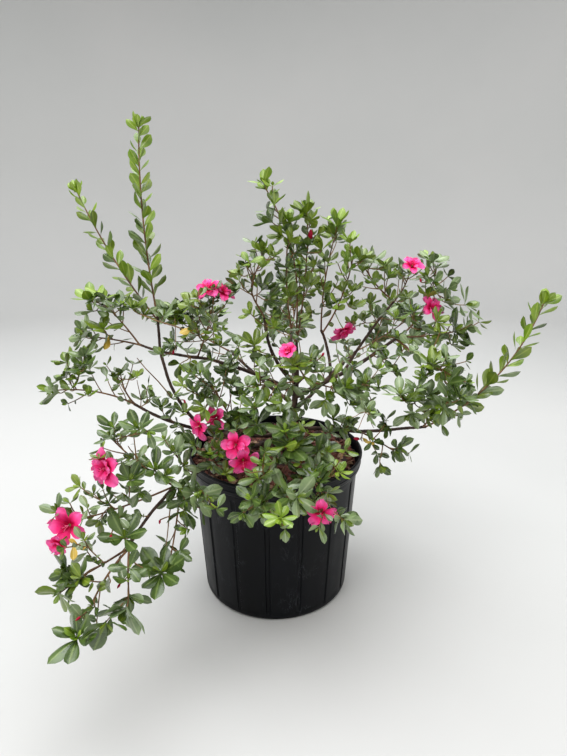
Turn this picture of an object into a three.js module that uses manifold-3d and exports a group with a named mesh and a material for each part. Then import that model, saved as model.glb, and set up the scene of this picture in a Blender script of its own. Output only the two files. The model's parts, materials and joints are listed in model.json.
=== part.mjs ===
import * as THREE from 'three';
import { mergeVertices } from 'three/addons/utils/BufferGeometryUtils.js';
import Module from 'manifold-3d';

const wasm = await Module();
wasm.setup();

// A flowering azalea shrub in a black three-gallon nursery pot. Millimetres, +Z up.
// The origin is on the ground at the pot's axis, and the shrub is looked at along +Y.

// Blow-moulded pot: a tapered wall in sixteen flat panels under a rim band that stands proud
const pot = {
  height: 240,
  baseRadius: 119.5,
  wallTopRadius: 132,
  rimRadius: 139.5,
  bandHeight: 24,
  wall: 3,
  floor: 4,
  corner: 6,
  lip: 2,
  step: 2,
  facets: 32,
  panels: 16,
  panelTurn: 0.78,
  grooveWidth: 7,
  grooveDepth: 1.7,
  grooveMargin: 7,
  drains: 6,
  drainRadius: 8,
  drainRing: 96,
  drainSides: 6,
};

// Bark mulch that fills the pot, rough on top and level where the stems come out of it. Its
// rings are shares of its outer radius, and its waves are radians per mm along X and along Y.
const mulch = {
  apart: 0.4, edgeHeight: 222, ringHeight: 226, centreHeight: 228, levelRadius: 31,
  rings: [0.84, 0.56], roughness: 1.3, waves: [[0.21, 0.09], [-0.13, 0.27]],
};

// Clear space between two pieces that touch on the real plant
const gap = 0.3;

// Corners that lie closer together than this are made one
const weld = 0.02;

// Clear space that a leaf or twig keeps to limbs and pot, and to another mass's space
const clearance = 0.6;
const border = 1.2;

// The bend of a limb is worked out in this many steps, and limbs have so many sides and rings
const bendSteps = 8;
const sides = { trunk: 8, bough: 5, stem: 3, twig: 3 };
const rings = { trunk: 8, bough: 5, stem: 4 };

// Woody limbs. Each springs from a point that lies a share of the way along another limb.
// Heading is degrees in plan from +X towards +Y, rise is degrees above level, and bow and
// veer are what the rise and the heading change by from foot to tip.
const trunk = {
  foot: [12, 13, mulch.centreHeight + gap],
  heading: 34, rise: 67, length: 183, bow: 30, veer: 5,
  footRadius: 7, tipRadius: 3, flare: 4.5, flareFade: 14, sink: 8,
};

const boughs = {
  leftBough: {
    from: 'trunk', at: 0.52, heading: 195, rise: 37, length: 171, bow: -25, veer: -9,
    footRadius: 3.6, tipRadius: 2.4,
  },
  leftReach: {
    from: 'leftBough', at: 1, heading: 178, rise: 3, length: 92, bow: 18, veer: -4,
    footRadius: 2.3, tipRadius: 1.9,
  },
  lowLeftBough: {
    from: 'trunk', at: 0.16, heading: 183, rise: -8, length: 257, bow: 46, veer: 12,
    footRadius: 3.8, tipRadius: 2.1,
  },
  tallLeftBough: {
    from: 'lowLeftBough', at: 0.5, heading: 193, rise: 40, length: 209, bow: 50, veer: -87,
    footRadius: 2.8, tipRadius: 2.1,
  },
  frontLeftBough: {
    from: 'trunk', at: 0.12, heading: 222, rise: 8, length: 223, bow: -18, veer: 7,
    footRadius: 3.8, tipRadius: 2.4,
  },
  dropBough: {
    from: 'frontLeftBough', at: 1, heading: 237, rise: -16, length: 113, bow: -9, veer: 14,
    footRadius: 2.3, tipRadius: 1.9,
  },
  topLeftBough: {
    from: 'trunk', at: 0.62, heading: 213, rise: 40, length: 135, bow: 44, veer: 11,
    footRadius: 3.2, tipRadius: 2.2,
  },
  rightBough: {
    from: 'trunk', at: 0.5, heading: 347, rise: 28, length: 200, bow: 14, veer: -8,
    footRadius: 3.8, tipRadius: 2.3,
  },
  topRightBough: {
    from: 'rightBough', at: 0.33, heading: 78, rise: 74, length: 81, bow: -11, veer: 82,
    footRadius: 2.6, tipRadius: 2.1,
  },
  rightThinBough: {
    from: 'rightBough', at: 0.45, heading: 27, rise: 56, length: 142, bow: -17, veer: 6,
    footRadius: 2.4, tipRadius: 1.8,
  },
  lowRightBough: {
    from: 'trunk', at: 0.2, heading: 323, rise: 17, length: 124, bow: -17, veer: 21,
    footRadius: 3.6, tipRadius: 2.6,
  },
  lowRightReach: {
    from: 'lowRightBough', at: 1, heading: 349, rise: 9, length: 99, bow: 2, veer: -3,
    footRadius: 2.5, tipRadius: 2.1,
  },
  frontBough: {
    from: 'trunk', at: 0.2, heading: 266, rise: -8, length: 107, bow: 20, veer: 19,
    footRadius: 3.2, tipRadius: 2.3,
  },
  frontPinkBough: {
    from: 'trunk', at: 0.26, heading: 221, rise: -8, length: 113, bow: 31, veer: 5,
    footRadius: 3, tipRadius: 2.1,
  },
  heartBough: {
    from: 'trunk', at: 0.6, heading: 283, rise: 41, length: 70, bow: -26, veer: -2,
    footRadius: 2.8, tipRadius: 2.1,
  },
  backLeftBough: {
    from: 'trunk', at: 0.42, heading: 137, rise: 20, length: 165, bow: 8, veer: 6,
    footRadius: 3.4, tipRadius: 2.2,
  },
  backBough: {
    from: 'trunk', at: 0.56, heading: 97, rise: 26, length: 165, bow: -6, veer: -10,
    footRadius: 3.4, tipRadius: 2.2,
  },
  backRightBough: {
    from: 'trunk', at: 0.36, heading: 48, rise: 22, length: 175, bow: 4, veer: -6,
    footRadius: 3.4, tipRadius: 2.2,
  },
};

// Masses of foliage. Each grows from one stem that goes on from its bough's tip and bends as
// a limb does. It throws twigs round itself from the share `first` on, the longest `spread`
// long, and every twig ends in a whorl. `lone` leaves stand singly along the stem. A bloom is
// a share of the way along the stem, then the heading, rise and length of its stalk.
const masses = {
  tallShoot: {
    bough: 'tallLeftBough', heading: 151, rise: 81, length: 279, bow: 14, veer: 31,
    twigs: 0, lone: 22, leafLength: 26, seed: 51,
  },
  leanShoot: {
    bough: 'tallLeftBough', heading: 162, rise: 49, length: 230, bow: 18, veer: 6,
    twigs: 0, lone: 17, leafLength: 27, seed: 49,
  },
  upperLeft: {
    bough: 'leftReach', heading: 171, rise: 56, length: 84, bow: -11, veer: 4,
    twigs: 4, spread: 48, lone: 3, leafLength: 29, seed: 52,
  },
  outerLeft: {
    bough: 'leftReach', heading: 194, rise: 19, length: 90, bow: -14, veer: -7,
    twigs: 4, spread: 44, lone: 3, leafLength: 28, seed: 39,
  },
  pinkLeft: {
    bough: 'leftBough', heading: 337, rise: 64, length: 102, bow: 10, veer: -15,
    twigs: 6, spread: 58, lone: 3, leafLength: 29, seed: 37,
    blooms: [[0.95, 248, 54, 32], [0.9, 321, 45, 38]],
  },
  farLeft: {
    bough: 'lowLeftBough', heading: 199, rise: 35, length: 124, bow: -41, veer: -12,
    twigs: 5, spread: 46, lone: 3, leafLength: 29, seed: 8,
  },
  farLeftUp: {
    bough: 'lowLeftBough', heading: 166, rise: 35, length: 58, bow: 48, veer: -38,
    twigs: 5, spread: 52, lone: 2, leafLength: 29, seed: 41,
  },
  budLeft: {
    bough: 'frontLeftBough', heading: 214, rise: 41, length: 119, bow: 14, veer: -22,
    twigs: 5, spread: 46, lone: 3, leafLength: 29, seed: 25,
    blooms: [[0.65, 245, -8, 46]],
  },
  lowPink: {
    bough: 'frontLeftBough', heading: 218, rise: -7, length: 150, bow: 19, veer: 12,
    twigs: 6, spread: 42, first: 0.4, lone: 3, leafLength: 28, seed: 38,
    blooms: [[0.95, 260, 16, 26], [0.92, 254, -6, 46]],
  },
  dropTip: {
    bough: 'dropBough', heading: 239, rise: -17, length: 95, bow: -33, veer: 8,
    twigs: 4, spread: 40, lone: 2, leafLength: 34, seed: 13,
  },
  dropOuter: {
    bough: 'dropBough', heading: 206, rise: -24, length: 78, bow: 12, veer: 8,
    twigs: 4, spread: 38, lone: 2, leafLength: 32, seed: 39,
  },
  dropWhorl: {
    bough: 'dropBough', heading: 274, rise: -30, length: 61, bow: -19, veer: 12,
    twigs: 3, spread: 34, lone: 1, leafLength: 38, seed: 31,
  },
  dropInner: {
    bough: 'frontLeftBough', heading: 273, rise: -40, length: 106, bow: -11, veer: -15,
    twigs: 4, spread: 40, lone: 2, leafLength: 35, seed: 47,
  },
  frontPink: {
    bough: 'frontPinkBough', heading: 263, rise: 5, length: 41, bow: -8, veer: 23,
    twigs: 5, spread: 52, lone: 1, leafLength: 31, seed: 36,
    blooms: [[0.92, 269, 17, 28], [0.85, 286, -16, 44]],
  },
  centreLeft: {
    bough: 'frontPinkBough', heading: 206, rise: 63, length: 79, bow: -1, veer: -41,
    twigs: 8, spread: 60, lone: 3, leafLength: 30, seed: 37,
    blooms: [[0.45, 226, -2, 58], [0.45, 237, 8, 28]],
  },
  topShoot: {
    bough: 'trunk', heading: 300, rise: 87, length: 239, bow: -27, veer: -122,
    twigs: 5, spread: 34, first: 0.5, lone: 7, leafLength: 28, seed: 4,
  },
  topRightShoot: {
    bough: 'trunk', heading: 354, rise: 81, length: 205, bow: 2, veer: -104,
    twigs: 5, spread: 38, first: 0.35, lone: 5, leafLength: 28, seed: 39,
  },
  midShoot: {
    bough: 'trunk', heading: 220, rise: 71, length: 188, bow: 6, veer: 72,
    twigs: 5, spread: 40, first: 0.25, lone: 5, leafLength: 28, seed: 60,
  },
  crownRight: {
    bough: 'topRightBough', heading: 20, rise: 91, length: 153, bow: -17, veer: -55,
    twigs: 5, spread: 46, lone: 4, leafLength: 28, seed: 53,
  },
  rightLime: {
    bough: 'topRightBough', heading: 335, rise: 57, length: 137, bow: 18, veer: -39,
    twigs: 5, spread: 46, lone: 4, leafLength: 28, seed: 20,
    blooms: [[0.3, 267, -27, 36]],
  },
  crownLeft: {
    bough: 'topLeftBough', heading: 140, rise: 58, length: 104, bow: 11, veer: 273,
    twigs: 7, spread: 48, lone: 4, leafLength: 29, seed: 43,
  },
  heartPink: {
    bough: 'heartBough', heading: 251, rise: 36, length: 62, bow: 0, veer: 2,
    twigs: 6, spread: 52, lone: 1, leafLength: 31, seed: 9,
    blooms: [[0.93, 249, 45, 27]],
  },
  heartRight: {
    bough: 'heartBough', heading: 318, rise: -11, length: 93, bow: 23, veer: 6,
    twigs: 8, spread: 56, lone: 2, leafLength: 30, seed: 39,
  },
  heartLeft: {
    bough: 'heartBough', heading: 222, rise: -4, length: 84, bow: 16, veer: -12,
    twigs: 8, spread: 52, lone: 3, leafLength: 30, seed: 9,
  },
  rightTop: {
    bough: 'rightThinBough', heading: 195, rise: 34, length: 88, bow: 26, veer: 8,
    twigs: 5, spread: 50, lone: 3, leafLength: 28, seed: 48,
  },
  rightPink: {
    bough: 'rightThinBough', heading: 14, rise: 47, length: 53, bow: 32, veer: -54,
    twigs: 4, spread: 42, lone: 2, leafLength: 27, seed: 42,
    blooms: [[0.92, 277, 52, 27]],
  },
  rightUpper: {
    bough: 'rightBough', heading: 0, rise: 40, length: 111, bow: 46, veer: 40,
    twigs: 5, spread: 48, lone: 3, leafLength: 28, seed: 24,
    blooms: [[0.35, 287, 26, 24]],
  },
  rightCluster: {
    bough: 'rightBough', heading: 338, rise: 3, length: 95, bow: 17, veer: 8,
    twigs: 7, spread: 52, lone: 2, leafLength: 31, seed: 33,
  },
  rightMid: {
    bough: 'rightBough', heading: 295, rise: -17, length: 105, bow: 7, veer: 7,
    twigs: 8, spread: 56, lone: 2, leafLength: 30, seed: 41,
  },
  rightTip: {
    bough: 'lowRightReach', heading: 356, rise: 28, length: 256, bow: 39, veer: 32,
    twigs: 0, first: 0.22, lone: 17, leafLength: 36, seed: 14,
  },
  rightLow: {
    bough: 'lowRightReach', heading: 289, rise: 45, length: 64, bow: 11, veer: -21,
    twigs: 5, spread: 56, lone: 2, leafLength: 31, seed: 14,
  },
  rightDrop: {
    bough: 'lowRightBough', heading: 298, rise: 5, length: 77, bow: -13, veer: 7,
    twigs: 4, spread: 42, lone: 1, leafLength: 30, seed: 57,
  },
  frontWhorl: {
    bough: 'frontBough', heading: 249, rise: 45, length: 41, bow: 8, veer: -3,
    twigs: 4, spread: 52, lone: 1, leafLength: 36, seed: 55,
  },
  frontRim: {
    bough: 'frontBough', heading: 248, rise: 7, length: 103, bow: -48, veer: -6,
    twigs: 4, spread: 40, first: 0.5, lone: 2, leafLength: 33, seed: 39,
  },
  frontRimPink: {
    bough: 'frontBough', heading: 293, rise: -2, length: 92, bow: -29, veer: -3,
    twigs: 4, spread: 42, first: 0.45, lone: 2, leafLength: 33, seed: 9,
    blooms: [[0.95, 273, -8, 30]],
  },
  backLeft: {
    bough: 'backLeftBough', heading: 160, rise: 22, length: 105, bow: 12, veer: 10,
    twigs: 5, spread: 66, lone: 2, leafLength: 32, seed: 56,
  },
  back: {
    bough: 'backBough', heading: 96, rise: 8, length: 100, bow: -6, veer: 10,
    twigs: 5, spread: 66, lone: 2, leafLength: 32, seed: 33,
  },
  backHigh: {
    bough: 'backBough', heading: 70, rise: 62, length: 100, bow: 14, veer: -20,
    twigs: 5, spread: 62, lone: 2, leafLength: 31, seed: 17,
  },
  backRight: {
    bough: 'backRightBough', heading: 30, rise: 16, length: 110, bow: 16, veer: -14,
    twigs: 5, spread: 66, lone: 2, leafLength: 32, seed: 18,
  },
};

// The first stem springs from its bough's tip, the others each so much further back
const stemSpacing = 5;

// How twigs, leaves and blooms grow: a pair is the least and the most of an even draw. Leaves
// are larger than life by the scale, as there are fewer of them.
const twig = {
  stemRadius: 1.7, footRadius: 1.35, tipRadius: 1.05, sleeve: 3.2, point: 1.2,
  first: 0.2, turn: [-20, 20], lean: [44, 68], size: [0.75, 1.1], shortening: 0.35,
  lift: 0.3, bow: 18,
};
const whorl = { leaves: 3, sink: 1.6, lean: [50, 74], size: [0.85, 1.15], roll: [-40, 40] };
const lone = {
  first: 0.12, turn: [-15, 15], lean: 48, size: [0.9, 1.1], shortening: 0.25, roll: [-75, 75],
};
const leaf = { scale: 1.25, width: 0.48, widest: 0.58, thickness: 1.9 };
const bloom = { petals: 5, radius: 20, notch: 0.66, depth: 9, stalkRadius: 1.3 };
const goldenAngle = 137.5;

const plastic = new THREE.MeshStandardMaterial({ color: 0x1c1e22, roughness: 0.55, metalness: 0 });
const bark = new THREE.MeshStandardMaterial({ color: 0x5a2d1f, roughness: 0.95, metalness: 0 });
const wood = new THREE.MeshStandardMaterial({ color: 0x4a332a, roughness: 0.85, metalness: 0 });
const foliage = new THREE.MeshStandardMaterial({ color: 0x4f7040, roughness: 0.6, metalness: 0 });

const radians = THREE.MathUtils.degToRad;
const degrees = THREE.MathUtils.radToDeg;

// A closed geometry as a solid, with its shared corners merged
function solidOf(geometry) {
  const bare = geometry.index ? geometry.toNonIndexed() : geometry.clone();
  bare.deleteAttribute('normal');
  bare.deleteAttribute('uv');
  const merged = mergeVertices(bare, 1e-4);
  return new wasm.Manifold(new wasm.Mesh({
    numProp: 3,
    vertProperties: new Float32Array(merged.attributes.position.array),
    triVerts: new Uint32Array(merged.index.array),
  }));
}

// A named mesh from a solid
function meshOf(name, solid, material) {
  const mesh = solid.getMesh();
  const geometry = new THREE.BufferGeometry();
  geometry.setAttribute('position', new THREE.BufferAttribute(mesh.vertProperties, 3));
  geometry.setIndex(new THREE.BufferAttribute(mesh.triVerts, 1));
  geometry.computeVertexNormals();
  const piece = new THREE.Mesh(geometry, material);
  piece.name = name;
  return piece;
}

// The biggest body of a solid: loose scraps and sealed hollows go
function mainBody(solid) {
  const bodies = solid.simplify(weld).decompose();
  return bodies.reduce((best, body) => (body.volume() > best.volume() ? body : best));
}

// Even random numbers from 0 to 1 that are the same for the same seed
function randomFrom(seed) {
  let state = Math.imul(seed, 2654435761) >>> 0;
  return () => {
    state = (state + 0x6d2b79f5) >>> 0;
    let mixed = Math.imul(state ^ (state >>> 15), state | 1);
    mixed = (mixed + Math.imul(mixed ^ (mixed >>> 7), mixed | 61)) ^ mixed;
    return ((mixed ^ (mixed >>> 14)) >>> 0) / 4294967296;
  };
}

// An even draw between two bounds
function drawn(random, [least, most]) {
  return least + (most - least) * random();
}

function directionOf(heading, rise) {
  const level = Math.cos(radians(rise));
  return new THREE.Vector3(
    level * Math.cos(radians(heading)),
    level * Math.sin(radians(heading)),
    Math.sin(radians(rise)),
  );
}

// The points of a limb that starts at a point and bends evenly from foot to tip
function pathOf(foot, limb) {
  const points = [foot.clone()];
  for (let step = 0; step < bendSteps; step += 1) {
    const share = (step + 0.5) / bendSteps;
    const way = directionOf(limb.heading + limb.veer * share, limb.rise + limb.bow * share);
    points.push(points[step].clone().addScaledVector(way, limb.length / bendSteps));
  }
  return points;
}

function pointAt(path, share) {
  const place = Math.min(Math.max(share, 0), 1) * (path.length - 1);
  const step = Math.min(Math.floor(place), path.length - 2);
  return path[step].clone().lerp(path[step + 1], place - step);
}

function wayAt(path, share) {
  const step = Math.min(Math.floor(share * (path.length - 1)), path.length - 2);
  return path[step + 1].clone().sub(path[step]).normalize();
}

// Two directions square to a way and to each other
function sidesOf(way) {
  const helper = Math.abs(way.z) < 0.9 ? new THREE.Vector3(0, 0, 1) : new THREE.Vector3(1, 0, 0);
  const across = helper.cross(way).normalize();
  return [across, way.clone().cross(across)];
}

// A way leant over by an angle, towards a turn round itself
function leant(way, turn, lean) {
  const [across, over] = sidesOf(way);
  return way.clone().multiplyScalar(Math.cos(radians(lean)))
    .addScaledVector(across, Math.sin(radians(lean)) * Math.cos(radians(turn)))
    .addScaledVector(over, Math.sin(radians(lean)) * Math.sin(radians(turn)));
}

// A closed tube along a path: a sphere whose poles go to the path's two ends and whose rings
// go to the stations, each a share of the way along and a radius. The sides are carried on
// from ring to ring without a twist.
function tubeSolid(path, stations, sideCount) {
  const rows = stations.length + 1;
  const geometry = new THREE.SphereGeometry(1, sideCount, rows);
  let across = sidesOf(wayAt(path, 0))[0];
  const frames = [[0, 0], ...stations, [1, 0]].map(([share, radius]) => {
    const way = wayAt(path, share);
    across = across.clone().addScaledVector(way, -across.dot(way)).normalize();
    return [pointAt(path, share), across, way.clone().cross(across), radius];
  });
  const corners = geometry.attributes.position;
  for (let i = 0; i < corners.count; i += 1) {
    const height = THREE.MathUtils.clamp(corners.getY(i), -1, 1);
    const row = rows - Math.round((Math.acos(height) / Math.PI) * rows);
    const [centre, right, up, radius] = frames[row];
    const turn = Math.atan2(corners.getX(i), corners.getZ(i));
    const corner = centre.clone()
      .addScaledVector(right, Math.cos(turn) * radius)
      .addScaledVector(up, Math.sin(turn) * radius);
    corners.setXYZ(i, corner.x, corner.y, corner.z);
  }
  return solidOf(geometry);
}

// Even stations for a limb with flat ends, whose radius is a function of the share
function evenStations(count, radiusAt) {
  return Array.from({ length: count + 1 }, (_, i) => [i / count, radiusAt(i / count)]);
}

// The same path, a little longer at both ends
function stretched(path, extra) {
  const longer = path.map((point) => point.clone());
  longer[0].addScaledVector(wayAt(path, 0), -extra);
  longer[longer.length - 1].addScaledVector(wayAt(path, 1), extra);
  return longer;
}

// The pot's half section, outside up and inside down, turned round its axis
function potSolid() {
  const bandFoot = pot.height - pot.bandHeight;
  const section = [
    [0, 0],
    [pot.baseRadius - pot.corner, 0],
    [pot.baseRadius, pot.corner],
    [pot.wallTopRadius, bandFoot],
    [pot.rimRadius - pot.step, bandFoot + pot.step],
    [pot.rimRadius, pot.height - pot.lip],
    [pot.rimRadius - pot.lip / 2, pot.height],
    [pot.rimRadius - pot.wall - pot.lip / 2, pot.height],
    [pot.rimRadius - pot.step - pot.wall, bandFoot + pot.step + pot.wall],
    [pot.wallTopRadius - pot.wall, bandFoot],
    [pot.baseRadius - pot.wall, pot.corner + pot.wall / 2],
    [pot.baseRadius - pot.corner - pot.wall / 2, pot.floor],
    [0, pot.floor],
  ];
  let solid = solidOf(turned(section));
  const slope = Math.atan2(pot.wallTopRadius - pot.baseRadius, bandFoot - pot.corner);
  const grooveLength = bandFoot - pot.corner - 2 * pot.grooveMargin;
  const middleRadius = (pot.baseRadius + pot.wallTopRadius) / 2;
  const middleHeight = (bandFoot + pot.corner) / 2;
  const cutterDepth = 10;
  for (let panel = 0; panel < pot.panels; panel += 1) {
    const cutter = new THREE.BoxGeometry(cutterDepth, pot.grooveWidth, grooveLength);
    cutter.rotateY(slope);
    cutter.translate(middleRadius - pot.grooveDepth + cutterDepth / 2, 0, middleHeight);
    cutter.rotateZ(((panel + pot.panelTurn) / pot.panels) * 2 * Math.PI);
    solid = solid.subtract(solidOf(cutter));
  }
  for (let drain = 0; drain < pot.drains; drain += 1) {
    const radius = pot.drainRadius;
    const cutter = new THREE.CylinderGeometry(radius, radius, 4 * pot.floor, pot.drainSides);
    cutter.rotateX(Math.PI / 2);
    cutter.translate(pot.drainRing, 0, 0);
    cutter.rotateZ(((drain + 0.5) / pot.drains) * 2 * Math.PI);
    solid = solid.subtract(solidOf(cutter));
  }
  return mainBody(solid);
}

// A half section of radius and height pairs, turned round +Z
function turned(section) {
  const profile = section.map(([radius, height]) => new THREE.Vector2(radius, height));
  return new THREE.LatheGeometry(profile, pot.facets).rotateX(Math.PI / 2);
}

// Mulch inside the pot, clear of its wall and floor, with a rough top
function mulchSolid() {
  const bandFoot = pot.height - pot.bandHeight;
  const wallTop = pot.wallTopRadius - pot.wall - mulch.apart;
  const section = [
    [0, pot.floor + gap],
    [pot.baseRadius - pot.corner - pot.wall / 2 - mulch.apart, pot.floor + gap],
    [pot.baseRadius - pot.wall - mulch.apart, pot.corner + pot.wall / 2 + mulch.apart],
    [wallTop, bandFoot],
    [wallTop, mulch.edgeHeight],
    ...mulch.rings.map((share) => [wallTop * share, mulch.ringHeight]),
    [mulch.levelRadius, mulch.centreHeight],
    [0, mulch.centreHeight],
  ];
  const geometry = turned(section);
  const corners = geometry.attributes.position;
  for (let i = 0; i < corners.count; i += 1) {
    const [x, y, z] = [corners.getX(i), corners.getY(i), corners.getZ(i)];
    if (Math.abs(z - mulch.ringHeight) < weld) {
      const wave = mulch.waves.reduce((sum, [a, b]) => sum + Math.sin(a * x + b * y), 0);
      corners.setZ(i, z + wave * mulch.roughness);
    }
  }
  return solidOf(geometry);
}

// A blade from a tetrahedron: its lower edge is the keel from root to tip, and its upper edge
// lies across the widest place
function bladeSolid(root, way, face, length, width) {
  const geometry = new THREE.TetrahedronGeometry(1);
  const across = face.clone().cross(way).normalize();
  const corners = geometry.attributes.position;
  for (let i = 0; i < corners.count; i += 1) {
    const end = Math.sign(corners.getX(i));
    const corner = root.clone();
    if (corners.getZ(i) > 0) {
      corner.addScaledVector(way, leaf.widest * length)
        .addScaledVector(across, (end * width) / 2)
        .addScaledVector(face, leaf.thickness);
    } else {
      corner.addScaledVector(way, ((end + 1) / 2) * length);
    }
    corners.setXYZ(i, corner.x, corner.y, corner.z);
  }
  return solidOf(geometry);
}

// A flower as a shallow cone with its point at the stalk and a rim of rounded-off lobes
function flowerSolid(heart, way) {
  const geometry = new THREE.ConeGeometry(bloom.radius, bloom.depth, 2 * bloom.petals);
  const [across, over] = sidesOf(way);
  const corners = geometry.attributes.position;
  for (let i = 0; i < corners.count; i += 1) {
    const [x, y, z] = [corners.getX(i), corners.getY(i), corners.getZ(i)];
    const sector = Math.round((Math.atan2(x, z) / Math.PI) * bloom.petals);
    const reach = sector % 2 === 0 ? 1 : bloom.notch;
    const corner = heart.clone()
      .addScaledVector(way, bloom.depth / 2 - y)
      .addScaledVector(across, x * reach)
      .addScaledVector(over, z * reach);
    corners.setXYZ(i, corner.x, corner.y, corner.z);
  }
  return solidOf(geometry);
}

// What a new twig or leaf has to stay clear of, and the mass it's part of if it is in one
const obstacles = [];

function addObstacle(solid, owner) {
  obstacles.push({ solid, box: solid.boundingBox(), owner });
}

function nearBox(solid, box) {
  const own = solid.boundingBox();
  return [0, 1, 2].every((axis) => own.min[axis] - clearance < box.max[axis]
    && own.max[axis] + clearance > box.min[axis]);
}

function touchesObstacle(name, solid) {
  return obstacles.some((other) => other.owner !== name && nearBox(solid, other.box)
    && solid.minGap(other.solid, clearance) < clearance);
}

// Shortest distance from a point to a path
function distanceTo(path, point) {
  let shortest = Infinity;
  const nearest = new THREE.Vector3();
  for (let step = 0; step + 1 < path.length; step += 1) {
    new THREE.Line3(path[step], path[step + 1]).closestPointToPoint(point, true, nearest);
    shortest = Math.min(shortest, nearest.distanceTo(point));
  }
  return shortest;
}

// A mass keeps the space that lies nearer to its own stem than to any other's
function inOwnSpace(name, points) {
  return points.every((point) => {
    const own = distanceTo(stems[name], point);
    return Object.keys(stems).every((other) => other === name
      || distanceTo(stems[other], point) > own + border);
  });
}

const root = new THREE.Group();
const paths = { trunk: pathOf(new THREE.Vector3(...trunk.foot), trunk) };
const stems = {};

const potBody = potSolid();
const mulchBody = mulchSolid();
root.add(meshOf('pot', potBody, plastic));
root.add(meshOf('mulch', mulchBody, bark));
addObstacle(potBody);
addObstacle(mulchBody);

// Trunk with a flared foot, cut level just above the mulch
const trunkRadius = (extra) => (share) => extra
  + THREE.MathUtils.lerp(trunk.footRadius, trunk.tipRadius, share)
  + trunk.flare * Math.exp(-share * trunk.flareFade);
const sunkPath = paths.trunk.map((point) => point.clone());
sunkPath[0].addScaledVector(wayAt(paths.trunk, 0), -trunk.sink);
const cutSize = 100;
const underside = new THREE.BoxGeometry(cutSize, cutSize, cutSize);
underside.translate(trunk.foot[0], trunk.foot[1], trunk.foot[2] - cutSize / 2);
const trunkBody = tubeSolid(sunkPath, evenStations(rings.trunk, trunkRadius(0)), sides.trunk)
  .subtract(solidOf(underside));
root.add(meshOf('trunk', trunkBody, wood));
addObstacle(trunkBody);

// How much the corners of a tube move out for its flat sides to move out by the gap
function cornerGap(kind) {
  return gap / Math.cos(Math.PI / sides[kind]);
}

// What a limb's foot is cut back by, so that it meets its neighbours just clear of them
const trunkStations = evenStations(rings.trunk, trunkRadius(cornerGap('trunk')));
const sheaths = [tubeSolid(stretched(paths.trunk, gap), trunkStations, sides.trunk)];

// A bough or stem: a tapering tube that starts on another limb's axis and is cut at its skin
function cutLimb(path, footRadius, tipRadius, kind) {
  const stations = (extra) => evenStations(
    rings[kind],
    (share) => extra + THREE.MathUtils.lerp(footRadius, tipRadius, share),
  );
  let solid = tubeSolid(path, stations(0), sides[kind]);
  for (const sheath of sheaths) {
    if (nearBox(solid, sheath.boundingBox())) {
      solid = solid.subtract(sheath);
    }
  }
  sheaths.push(tubeSolid(stretched(path, gap), stations(cornerGap(kind)), sides[kind]));
  return mainBody(solid);
}

for (const [name, bough] of Object.entries(boughs)) {
  paths[name] = pathOf(pointAt(paths[bough.from], bough.at), bough);
  const solid = cutLimb(paths[name], bough.footRadius, bough.tipRadius, 'bough');
  root.add(meshOf(name, solid, wood));
  addObstacle(solid);
}

// Stems of the masses
const stemSolids = {};
const stemsOn = {};
for (const [name, mass] of Object.entries(masses)) {
  const boughPath = paths[mass.bough];
  const order = stemsOn[mass.bough] ?? 0;
  stemsOn[mass.bough] = order + 1;
  const boughLength = (boughs[mass.bough] ?? trunk).length;
  const foot = pointAt(boughPath, 1 - (order * stemSpacing) / boughLength);
  stems[name] = pathOf(foot, mass);
  stemSolids[name] = cutLimb(stems[name], twig.stemRadius, twig.tipRadius, 'stem');
}

// What has grown in each mass: every piece is in a group, and may join the groups it roots in
// but not touch the others
const grown = {};

function place(name, solid, group, joins) {
  const blocked = grown[name].some((piece) => !joins.includes(piece.group)
    && nearBox(solid, piece.box) && solid.minGap(piece.solid, clearance) < clearance);
  if (blocked || touchesObstacle(name, solid)) {
    return false;
  }
  grown[name].push({ solid, box: solid.boundingBox(), group });
  return true;
}

// One leaf, if it stays in its mass's space and clear of everything else
function growLeaf(name, foot, way, leafShape, group, joins) {
  const { turn, lean, length, roll } = leafShape;
  const axis = leant(way, turn, lean);
  const face = way.clone().addScaledVector(axis, -way.dot(axis)).normalize();
  face.applyAxisAngle(axis, radians(roll));
  const width = length * leaf.width;
  const across = face.clone().cross(axis);
  const middle = foot.clone().addScaledVector(axis, length * leaf.widest);
  const outline = [
    foot.clone().addScaledVector(axis, length),
    middle.clone().addScaledVector(across, width / 2),
    middle.clone().addScaledVector(across, -width / 2),
    middle,
  ];
  if (inOwnSpace(name, outline)) {
    place(name, bladeSolid(foot, axis, face, length, width), group, joins);
  }
}

// A stem's or twig's end: a whorl of leaves, evenly round it
function growWhorl(name, path, leafLength, random, group, host) {
  const way = wayAt(path, 1);
  const foot = path[path.length - 1].clone().addScaledVector(way, -whorl.sink);
  const start = drawn(random, [0, 360]);
  for (let i = 0; i < whorl.leaves; i += 1) {
    const shape = {
      turn: start + (i * 360) / whorl.leaves,
      lean: drawn(random, whorl.lean),
      length: leafLength * leaf.scale * drawn(random, whorl.size),
      roll: drawn(random, whorl.roll),
    };
    growLeaf(name, foot, way, shape, group, [host, group]);
  }
}

// Every twig, whorl and row of lone leaves in a mass has a number, and so its own draws
function randomOf(mass, number) {
  return randomFrom(mass.seed * 100 + number);
}

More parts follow.
